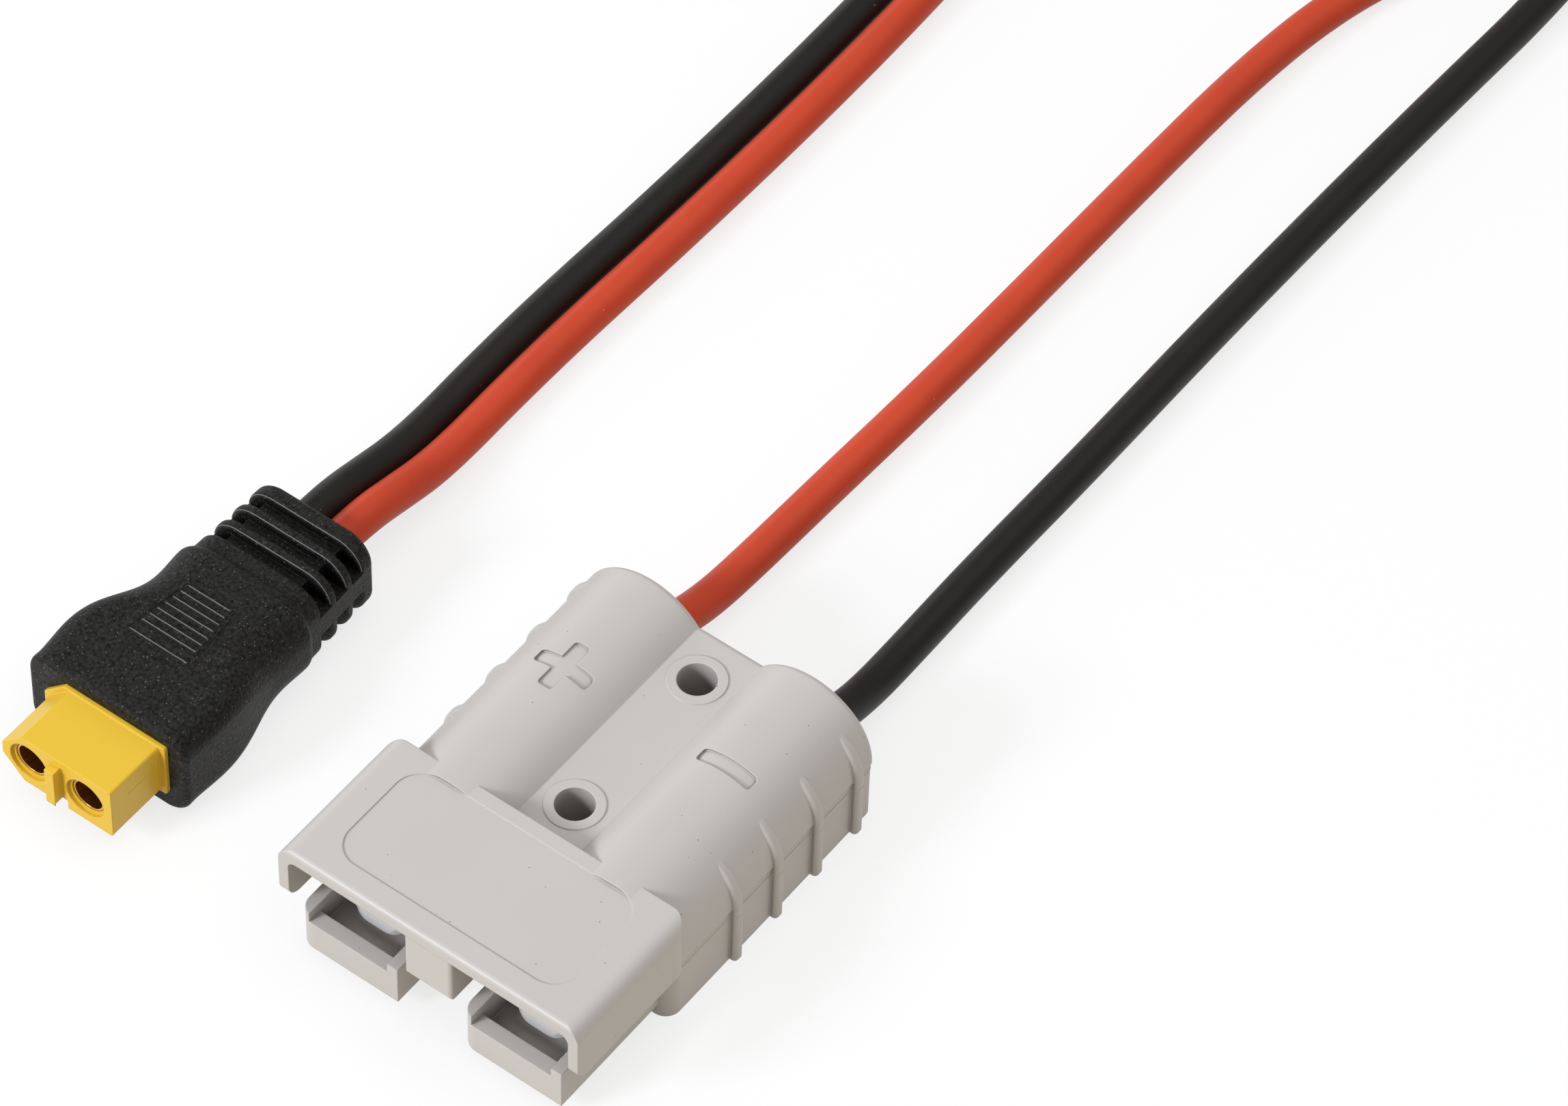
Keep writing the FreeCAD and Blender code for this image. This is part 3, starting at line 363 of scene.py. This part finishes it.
def make_moulded_grain():
    """Fine grain of a moulded or extruded surface, as a height, with slow waves under it."""
    graph, entry, out = new_group(
        "Moulded Grain",
        [("Grain Size", "Float", 0.0004), ("Wave Size", "Float", 0.01), ("Wave Share", "Float", 0.5)],
        [("Height", "Float")],
    )
    place = graph.node("TexCoord").outputs["Object"]
    fine_scale = graph.math("DIVIDE", 1.0, entry["Grain Size"])
    fine = graph.noise(place, fine_scale, 2.0, 0.6)
    wave_scale = graph.math("DIVIDE", 1.0, entry["Wave Size"])
    wave = graph.noise(place, wave_scale, 1.0)
    waves = graph.math("MULTIPLY", wave, entry["Wave Share"])
    height = graph.math("ADD", fine, waves)
    graph.tree.links.new(height, out["Height"])
    return graph.tree


def make_colour_drift():
    """A colour that grows a little lighter and darker in soft patches."""
    graph, entry, out = new_group(
        "Colour Drift",
        [
            ("Colour", "Color", (0.5, 0.5, 0.5, 1.0)),
            ("Amount", "Float", 0.1),
            ("Patch Size", "Float", 0.01),
        ],
        [("Colour", "Color")],
    )
    place = graph.node("TexCoord").outputs["Object"]
    scale = graph.math("DIVIDE", 1.0, entry["Patch Size"])
    patches = graph.noise(place, scale, 4.0, 0.55)
    low = graph.math("SUBTRACT", 1.0, entry["Amount"])
    high = graph.math("ADD", 1.0, entry["Amount"])
    tone = graph.between(patches, 0.3, 0.7, low, high)
    lit = graph.node("VectorMath", {0: entry["Colour"], "Scale": tone}, operation="SCALE").outputs[0]
    graph.tree.links.new(lit, out["Colour"])
    return graph.tree


def make_soft_edge():
    """The rounded normal of a moulded edge, and a mask that is 1 on the edge."""
    graph, entry, out = new_group(
        "Soft Edge",
        [("Radius", "Float", 0.0002)],
        [("Normal", "Vector"), ("Mask", "Float")],
    )
    rounded = graph.node("Bevel", {"Radius": entry["Radius"]}, samples=8).outputs[0]
    plain = graph.node("NewGeometry").outputs["Normal"]
    agree = graph.node("VectorMath", {0: rounded, 1: plain}, operation="DOT_PRODUCT").outputs["Value"]
    mask = graph.between(agree, 0.995, 0.85)
    graph.tree.links.new(rounded, out["Normal"])
    graph.tree.links.new(mask, out["Mask"])
    return graph.tree


def make_recess_shade():
    """A mask of painted shade, that grows to a share in holes, slots and inner corners, the less open
    each place is.
    """
    graph, entry, out = new_group(
        "Recess Shade",
        [("Reach", "Float", 0.004), ("Share", "Float", 0.5)],
        [("Mask", "Float")],
    )
    openness = graph.node(
        "AmbientOcclusion", {"Distance": entry["Reach"]}, samples=8, only_local=True
    ).outputs["AO"]
    depth = graph.between(openness, 0.75, 0.25)
    mask = graph.math("MULTIPLY", depth, entry["Share"])
    graph.tree.links.new(mask, out["Mask"])
    return graph.tree


def make_dust_and_glint_specks():
    """Single small specks, far apart, as a mask that is 1 on a speck."""
    graph, entry, out = new_group(
        "Dust And Glint Specks",
        [("Spacing", "Float", 0.002), ("Speck Size", "Float", 0.0001), ("Share", "Float", 0.3)],
        [("Mask", "Float")],
    )
    place = graph.node("TexCoord").outputs["Object"]
    scale = graph.math("DIVIDE", 1.0, entry["Spacing"])
    cells = graph.node("TexVoronoi", {"Vector": place, "Scale": scale})
    size = graph.math("DIVIDE", entry["Speck Size"], entry["Spacing"])
    inside = graph.math("LESS_THAN", cells.outputs["Distance"], size)
    picked = graph.node("SeparateColor", {0: cells.outputs["Color"]}).outputs[0]
    chosen = graph.math("LESS_THAN", picked, entry["Share"])
    mask = graph.math("MULTIPLY", inside, chosen)
    graph.tree.links.new(mask, out["Mask"])
    return graph.tree


def shared(name):
    """A shared effect, made when a material first asks for it."""
    makers = {
        "Moulded Grain": make_moulded_grain,
        "Colour Drift": make_colour_drift,
        "Soft Edge": make_soft_edge,
        "Dust And Glint Specks": make_dust_and_glint_specks,
        "Recess Shade": make_recess_shade,
    }
    return bpy.data.node_groups.get(name) or makers[name]()


def new_material(name):
    material = bpy.data.materials.new(name)
    material.use_nodes = True
    return material, Graph(material.node_tree), material.node_tree.nodes["Principled BSDF"]


def opaque(colour):
    return (*colour, 1.0)


def moulded_plastic(
    name,
    colour,
    roughness,
    edge=0.0002,
    grain_size=0.0004,
    grain_height=0.000004,
    drift=0.02,
    patch=0.012,
    speck_colour=(0.2, 0.19, 0.17),
    speck_spacing=0.0016,
    speck_share=0.1,
    edge_highlight_tone=1.08,
    edge_polish=0.0,
    painted_shade=0.9,
    specular=0.5,
):
    """A moulded plastic: soft edges with a painted highlight, fine grain, painted shade in its recesses
    and a few specks.
    """
    material, graph, shader = new_material(name)
    drifted = graph.node(
        "Group",
        {"Colour": opaque(colour), "Amount": drift, "Patch Size": patch},
        node_tree=shared("Colour Drift"),
    ).outputs[0]
    edges = graph.node("Group", {"Radius": edge}, node_tree=shared("Soft Edge")).outputs
    edge_highlight_colour = opaque([min(1.0, part * edge_highlight_tone) for part in colour])
    # Painted shade: the colour darkens in holes, slots and inner corners, the less open they are.
    recess_shade = graph.node(
        "Group", {"Reach": PAINTED_SHADE_REACH, "Share": painted_shade}, node_tree=shared("Recess Shade")
    ).outputs[0]
    shaded = graph.mix(recess_shade, drifted, opaque([part * PAINTED_SHADE_TONE for part in colour]))
    # Painted highlight: the colour grows lighter along every edge.
    highlighted = graph.mix(edges["Mask"], shaded, edge_highlight_colour)
    specks = graph.node(
        "Group",
        {"Spacing": speck_spacing, "Speck Size": PLASTIC_SPECK, "Share": speck_share},
        node_tree=shared("Dust And Glint Specks"),
    ).outputs[0]
    base = graph.mix(specks, highlighted, opaque(speck_colour))
    grain = graph.node(
        "Group",
        {"Grain Size": grain_size, "Wave Size": 0.006, "Wave Share": 1.0},
        node_tree=shared("Moulded Grain"),
    ).outputs[0]
    bump = graph.node(
        "Bump", {"Strength": 1.0, "Distance": grain_height, "Height": grain, "Normal": edges["Normal"]}
    ).outputs[0]
    gloss = graph.between(grain, 0.4, 1.4, roughness - 0.04, roughness + 0.04)
    polish = graph.math("MULTIPLY", edges["Mask"], edge_polish)
    gloss = graph.math("SUBTRACT", gloss, polish)
    shader.inputs["Specular IOR Level"].default_value = specular
    graph.tree.links.new(base, shader.inputs["Base Color"])
    graph.tree.links.new(bump, shader.inputs["Normal"])
    graph.tree.links.new(gloss, shader.inputs["Roughness"])
    return material


def plated_metal(name, colour, roughness, scratch_height=0.000002, tarnish=0.06, metallic=1.0):
    """A plated metal with fine drawing lines and a trace of tarnish."""
    material, graph, shader = new_material(name)
    drifted = graph.node(
        "Group",
        {"Colour": opaque(colour), "Amount": tarnish, "Patch Size": 0.003},
        node_tree=shared("Colour Drift"),
    ).outputs[0]
    place = graph.node("TexCoord").outputs["Object"]
    drawn = graph.node("Mapping", {"Vector": place, "Scale": (1.0, 0.05, 1.0)}).outputs[0]
    lines = graph.noise(drawn, 9000.0, 2.0)
    edges = graph.node("Group", {"Radius": 0.00015}, node_tree=shared("Soft Edge")).outputs
    bump = graph.node(
        "Bump", {"Strength": 1.0, "Distance": scratch_height, "Height": lines, "Normal": edges["Normal"]}
    ).outputs[0]
    gloss = graph.between(lines, 0.3, 0.7, roughness - 0.03, roughness + 0.05)
    graph.tree.links.new(drifted, shader.inputs["Base Color"])
    graph.tree.links.new(bump, shader.inputs["Normal"])
    graph.tree.links.new(gloss, shader.inputs["Roughness"])
    shader.inputs["Metallic"].default_value = metallic
    return material


def insulation(name, colour, roughness, scuff_colour, scuff_share):
    """Soft extruded insulation: slow waves from handling, and fine pale scuffs."""
    material, graph, shader = new_material(name)
    drifted = graph.node(
        "Group",
        {"Colour": opaque(colour), "Amount": 0.05, "Patch Size": 0.008},
        node_tree=shared("Colour Drift"),
    ).outputs[0]
    specks = graph.node(
        "Group",
        {"Spacing": 0.0019, "Speck Size": SCUFF_SIZE, "Share": scuff_share},
        node_tree=shared("Dust And Glint Specks"),
    ).outputs[0]
    base = graph.mix(specks, drifted, opaque(scuff_colour))
    grain = graph.node(
        "Group",
        {"Grain Size": 0.0005, "Wave Size": 0.004, "Wave Share": 3.0},
        node_tree=shared("Moulded Grain"),
    ).outputs[0]
    bump = graph.node("Bump", {"Strength": 1.0, "Distance": 0.00001, "Height": grain}).outputs[0]
    gloss = graph.between(grain, 1.0, 3.0, roughness - 0.05, roughness + 0.08)
    shader.inputs["Specular IOR Level"].default_value = 0.22
    graph.tree.links.new(base, shader.inputs["Base Color"])
    graph.tree.links.new(bump, shader.inputs["Normal"])
    graph.tree.links.new(gloss, shader.inputs["Roughness"])
    return material


def coat(node, material):
    """Gives a CAD node its finish."""
    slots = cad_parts[node].data.materials
    slots.clear()
    slots.append(material)


def new_piece(name, data, body, material):
    """A piece of the object that rides on a body and takes its finish from a slot."""
    piece = bpy.data.objects.new(name, data)
    bpy.context.scene.collection.objects.link(piece)
    data.materials.append(material)
    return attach(piece, body)


def drawn_line(name, points, radius, closed=False):
    """A thin round line through the points."""
    line = bpy.data.curves.new(name, "CURVE")
    line.dimensions = "3D"
    line.bevel_depth = radius
    line.bevel_resolution = 2
    line.use_fill_caps = not closed
    spline = line.splines.new("POLY")
    spline.points.add(len(points) - 1)
    for point, place in zip(spline.points, points):
        point.co = (*place, 1.0)
    spline.use_cyclic_u = closed
    return line


def corner_points(centre, radius, start, end, steps=8):
    """Points round a corner, from one angle to another."""
    angles = [math.radians(start + (end - start) * step / steps) for step in range(steps + 1)]
    return [
        (centre[0] + radius * math.cos(angle), centre[1] + radius * math.sin(angle)) for angle in angles
    ]


def seam_points(look, side):
    """The parting seam of one flank: round its front corner, over its ribs, to its rear corner."""
    wall = look.half_width
    outer = wall + look.rib_rise - look.rib_corner
    front = (wall - look.front_corner, look.front_corner - look.front)
    rear = (wall - look.rear_corner, look.rear - look.rear_corner)
    plan = corner_points(front, look.front_corner, -90, 0)
    for count in reversed(range(FLANK_RIBS)):
        middle = look.last_rib - count * look.rib_pitch
        foot = look.rib_width / 2
        edge = foot - look.rib_corner
        plan.append((wall, middle - foot))
        plan += corner_points((outer, middle - edge), look.rib_corner, -90, 0)
        plan += corner_points((outer, middle + edge), look.rib_corner, 0, 90)
        plan.append((wall, middle + foot))
    plan += corner_points(rear, look.rear_corner, 0, 90)
    return [(side * across, along, look.seam_height) for across, along in plan]


def top_of(node, across, along):
    """The height of a CAD node's top at a place, as seen straight from above."""
    above = Vector((across, along, 1.0))
    hit, place, _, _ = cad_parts[node].ray_cast(above, Vector((0.0, 0.0, -1.0)))
    if not hit:
        raise RuntimeError(f"{node} has no top at {across}, {along}")
    return place.z


def rounded_outline(corners, cut, steps=6):
    """Points round a closed outline, with each corner rounded off over a length."""
    points = []
    for number, corner in enumerate(corners):
        here = Vector(corner)
        start = here + (Vector(corners[number - 1]) - here).normalized() * cut
        end = here + (Vector(corners[(number + 1) % len(corners)]) - here).normalized() * cut
        for step in range(steps + 1):
            share = step / steps
            points.append(start.lerp(here, share).lerp(here.lerp(end, share), share))
    return points


def grip_points(look):
    """The outline round the grip lines, laid on top of the strain relief."""
    left = -look.grip_middle
    front = -look.grip_front
    rear = front + look.grip_length
    corners = [
        (left - look.grip_width / 2, front),
        (left + look.grip_width / 2, front),
        (left + look.grip_end_width / 2, rear),
        (left - look.grip_end_width / 2, rear),
    ]
    plan = rounded_outline(corners, look.grip_corner)
    return [(across, along, top_of("strain_relief", across, along)) for across, along in plan]


def ridge_lines(look):
    """A pale line along the crest of each ridge of the grip, on top of the strain relief: a painted
    highlight.
    """
    reach = look.ridge_gap + (GRIP_RIDGES - 2) * look.ridge_pitch
    lines = []
    for count in range(GRIP_RIDGES):
        back = 0.0 if count == 0 else look.ridge_gap + (count - 1) * look.ridge_pitch
        half = (look.ridge_length + (look.ridge_end_length - look.ridge_length) * back / reach) / 2
        along = back - look.ridge_front - look.highlight_lean
        shares = [2 * step / RIDGE_STEPS - 1 for step in range(RIDGE_STEPS + 1)]
        places = [half * share - look.grip_middle for share in shares]
        lines.append([(across, along, top_of("strain_relief", across, along)) for across in places])
    return lines


def rim_line(look, along, start=15, end=165, steps=48):
    """A pale line along the rim of a rib of the collar, from its right side over its top to its left
    side: a painted highlight.
    """
    middle = Vector((-look.collar_middle, along, look.collar_height))
    line = []
    for step in range(steps + 1):
        angle = math.radians(start + (end - start) * step / steps)
        out = Vector((math.cos(angle), 0.0, math.sin(angle)))
        hit, place, _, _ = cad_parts["strain_relief"].ray_cast(middle + out, -out)
        if not hit:
            raise RuntimeError(f"no rim on the collar at {along}")
        line.append(place)
    return line


class HousingOperator(bpy.types.Operator):
    """Gives the grey housing its moulded plastic, with the seams and traces of moulding"""

    bl_idname = "battery_cable.housing"
    bl_label = "Grey housing"

    def execute(self, context):
        look = context.scene.battery_cable.housing
        plastic = moulded_plastic(
            "grey_plastic", look.colour, look.roughness, edge=look.edge, speck_share=0.5
        )
        coat("grey_housing", plastic)
        for name, side in (("left", -1), ("right", 1)):
            seam = drawn_line(f"{name}_seam", seam_points(look, side), look.seam)
            new_piece(f"{name}_parting_seam", seam, "housing", plastic)
        return {"FINISHED"}


class ContactsOperator(bpy.types.Operator):
    """Gives the contacts, their leaf springs and the strands their metals"""

    bl_idname = "battery_cable.contacts"
    bl_label = "Contacts"

    def execute(self, context):
        look = context.scene.battery_cable.contacts
        plating = plated_metal("silver_plate", look.plating, 0.42, metallic=0.45)
        leaf = plated_metal("spring_steel", look.leaf, 0.32)
        copper = plated_metal("copper", look.strands, 0.35, scratch_height=0.00002)
        for pole, colour in (("positive", "red"), ("negative", "black")):
            coat(f"{pole}_contact", plating)
            coat(f"{pole}_contact_spring", leaf)
            coat(f"{colour}_strands_in_contact", copper)
            coat(f"{colour}_strands_in_socket", copper)
        return {"FINISHED"}


class LeadsOperator(bpy.types.Operator):
    """Lays the red and the black lead from the housing to the plug"""

    bl_idname = "battery_cable.leads"
    bl_label = "Leads"

    def execute(self, context):
        look = context.scene.battery_cable.leads
        leads = (
            ("red", RED_ROUTE, look.red, (0.75, 0.3, 0.24), 0.05, RED_LENGTH, RED_EXIT),
            ("black", BLACK_ROUTE, look.black, (0.25, 0.24, 0.23), 0.12, BLACK_LENGTH, BLACK_EXIT),
        )
        for name, route, colour, scuff, share, length, exit_point in leads:
            line = bpy.data.curves.new(f"{name}_insulation", "CURVE")
            line.dimensions = "3D"
            line.resolution_u = 12
            line.bevel_depth = look.diameter / 2
            line.bevel_resolution = 8
            line.use_fill_caps = True
            spline = line.splines.new("NURBS")
            spline.points.add(len(route) - 1)
            for point, place in zip(spline.points, route):
                point.co = (*place, 1.0)
            spline.order_u = 3
            spline.use_endpoint_u = True
            finish = insulation(f"{name}_insulation", colour, look.roughness, scuff, share)
            piece = new_piece(f"{name}_lead_line", line, "housing", finish)
            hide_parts(f"{name}_lead")
        return {"FINISHED"}


class PlugOperator(bpy.types.Operator):
    """Gives the yellow plug, its sockets and solder, and the strain relief their finish"""

    bl_idname = "battery_cable.plug"
    bl_label = "Plug"

    def execute(self, context):
        look = context.scene.battery_cable.plug
        yellow = moulded_plastic(
            "yellow_plastic",
            look.yellow,
            0.38,
            edge=0.00018,
            speck_colour=(0.55, 0.33, 0.03),
            speck_share=0.08,
            painted_shade=0.4,
            specular=0.35,
        )
        gold = plated_metal("gold_plate", look.gold, 0.24)
        solder = plated_metal("solder", look.solder, 0.3)
        black = moulded_plastic(
            "black_moulding",
            look.moulding,
            0.46,
            edge=0.00015,
            grain_size=look.grain,
            grain_height=0.00015,
            drift=0.95,
            patch=0.0004,
            # These pale specks are painted glints of the moulding's grain.
            speck_colour=(0.13, 0.126, 0.12),
            speck_spacing=0.0005,
            speck_share=0.9,
            # A strong painted highlight along every edge of the moulding.
            edge_highlight_tone=2.0,
            edge_polish=0.16,
            specular=0.13,
        )
        coat("plug_body", yellow)
        coat("strain_relief", black)
        for pole in ("positive", "negative"):
            coat(f"{pole}_socket", gold)
            coat(f"{pole}_solder", solder)
        # Pale lines on the crests of the grip's ridges and the rims of the collar's ribs are painted
        # highlights.
        highlighted = moulded_plastic("painted_highlight_moulding", look.highlighted, 0.35)
        for count, line in enumerate(ridge_lines(look)):
            crest = drawn_line(f"crest_{count}", line, look.highlight_radius)
            new_piece(f"grip_crest_highlight_{count}", crest, "housing", highlighted)
        for count in range(COLLAR_RIMS):
            along = count * look.rib_pitch - look.rib_front
            rim = drawn_line(f"rim_{count}", rim_line(look, along), look.highlight_radius)
            new_piece(f"rib_rim_highlight_{count}", rim, "housing", highlighted)
        grip = drawn_line("grip", grip_points(look), look.grip_line, closed=True)
        new_piece("grip_outline", grip, "housing", black)
        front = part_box("plug_body")[0][1]
        ends = [front + look.flange - look.seam_length, front + look.flange]
        seam = drawn_line("plug_seam", [(look.side, end, look.seam_height) for end in ends], look.seam)
        new_piece("plug_parting_seam", seam, "housing", yellow)
        return {"FINISHED"}


class StageOperator(bpy.types.Operator):
    """Sets the floor, the lamps, the world and the camera"""

    bl_idname = "battery_cable.stage"
    bl_label = "Stage"

    def execute(self, context):
        look = context.scene.battery_cable.stage
        scene = context.scene
        self.make_floor(look)
        self.make_world(scene)
        aim = Vector(look.aim)
        for name, place, width, power, colour in LAMPS:
            self.make_lamp(name, place, aim, width, power, colour)
        self.make_camera(scene, look, aim)
        scene.view_settings.view_transform = "Standard"
        return {"FINISHED"}

    def make_floor(self, look):
        half = look.floor / 2
        mesh = bpy.data.meshes.new("floor")
        corners = [(-half, -half, 0.0), (half, -half, 0.0), (half, half, 0.0), (-half, half, 0.0)]
        mesh.from_pydata(corners, [], [(0, 1, 2, 3)])
        floor = bpy.data.objects.new("floor", mesh)
        bpy.context.scene.collection.objects.link(floor)
        material, graph, shader = new_material("pale_floor")
        shader.inputs["Base Color"].default_value = FLOOR_TINT
        shader.inputs["Roughness"].default_value = 0.9
        shader.inputs["Specular IOR Level"].default_value = 0.1
        pale = graph.node("BsdfDiffuse", {"Color": SEEN_FLOOR}).outputs[0]
        white = graph.node("Emission", {"Color": (1.0, 1.0, 1.0, 1.0), "Strength": 1.0}).outputs[0]
        seen_floor = graph.node("MixShader", {0: SEEN_FLOOR_WHITE, 1: pale, 2: white}).outputs[0]
        light_path = graph.node("LightPath").outputs
        seen = graph.math("MAXIMUM", light_path["Is Camera Ray"], light_path["Is Glossy Ray"])
        seen = graph.math("MAXIMUM", seen, light_path["Is Transmission Ray"])
        floor_look = graph.node("MixShader", {0: seen, 1: shader.outputs[0], 2: seen_floor}).outputs[0]
        graph.tree.links.new(floor_look, material.node_tree.nodes["Material Output"].inputs["Surface"])
        mesh.materials.append(material)

    def make_world(self, scene):
        world = bpy.data.worlds.new("soft_room")
        scene.world = world
        world.use_nodes = True
        graph = Graph(world.node_tree)
        background = world.node_tree.nodes["Background"]
        light_path = graph.node("LightPath").outputs
        seen = graph.math("MAXIMUM", light_path["Is Camera Ray"], light_path["Is Transmission Ray"])
        strength = graph.between(seen, 0.0, 1.0, ROOM_LIGHT, 1.0)
        graph.tree.links.new(strength, background.inputs["Strength"])
        background.inputs["Color"].default_value = (1.0, 1.0, 1.0, 1.0)

    def make_lamp(self, name, place, aim, size, power, colour):
        data = bpy.data.lights.new(name, "AREA")
        data.shape = "SQUARE"
        data.size = size
        data.energy = power
        data.color = colour
        lamp = bpy.data.objects.new(name, data)
        bpy.context.scene.collection.objects.link(lamp)
        lamp.location = place
        lamp.rotation_euler = (aim - lamp.location).to_track_quat("-Z", "Y").to_euler()

    def make_camera(self, scene, look, aim):
        data = bpy.data.cameras.new("camera")
        data.lens = look.lens
        data.sensor_width = 36.0
        data.clip_start = 0.01
        data.clip_end = 20.0
        camera = bpy.data.objects.new("camera", data)
        scene.collection.objects.link(camera)
        level = math.cos(look.elevation)
        back = Vector(
            (math.sin(look.azimuth) * level, -math.cos(look.azimuth) * level, math.sin(look.elevation))
        )
        turn = (-back).to_track_quat("-Z", "Y").to_matrix().to_4x4()
        roll = Matrix.Rotation(look.roll, 4, "Z")
        camera.matrix_world = Matrix.Translation(aim + back * look.distance) @ turn @ roll
        scene.camera = camera


class BatteryCablePanel(bpy.types.Panel):
    """Lists the pieces and their sizes and colours"""

    bl_idname = "VIEW3D_PT_battery_cable"
    bl_label = "Battery cable"
    bl_space_type = "VIEW_3D"
    bl_region_type = "UI"
    bl_category = "Battery cable"

    def draw(self, context):
        settings = context.scene.battery_cable
        for operator, group in STEPS:
            box = self.layout.box()
            box.operator(operator.bl_idname)
            part = getattr(settings, group)
            for name in part.bl_rna.properties.keys():
                if name not in ("rna_type", "name"):
                    box.prop(part, name)


STEPS = [
    (HousingOperator, "housing"),
    (ContactsOperator, "contacts"),
    (LeadsOperator, "leads"),
    (PlugOperator, "plug"),
    (StageOperator, "stage"),
]
CLASSES = [
    HousingSettings,
    ContactSettings,
    LeadSettings,
    PlugSettings,
    StageSettings,
    BatteryCableSettings,
    *[operator for operator, group in STEPS],
    BatteryCablePanel,
]


def register():
    for kind in CLASSES:
        bpy.utils.register_class(kind)
    bpy.types.Scene.battery_cable = PointerProperty(type=BatteryCableSettings)


def unregister():
    del bpy.types.Scene.battery_cable
    for kind in reversed(CLASSES):
        bpy.utils.unregister_class(kind)


def main():
    register()
    bpy.ops.battery_cable.housing()
    bpy.ops.battery_cable.contacts()
    bpy.ops.battery_cable.leads()
    bpy.ops.battery_cable.plug()
    bpy.ops.battery_cable.stage()


if __name__ == "__main__":
    main()
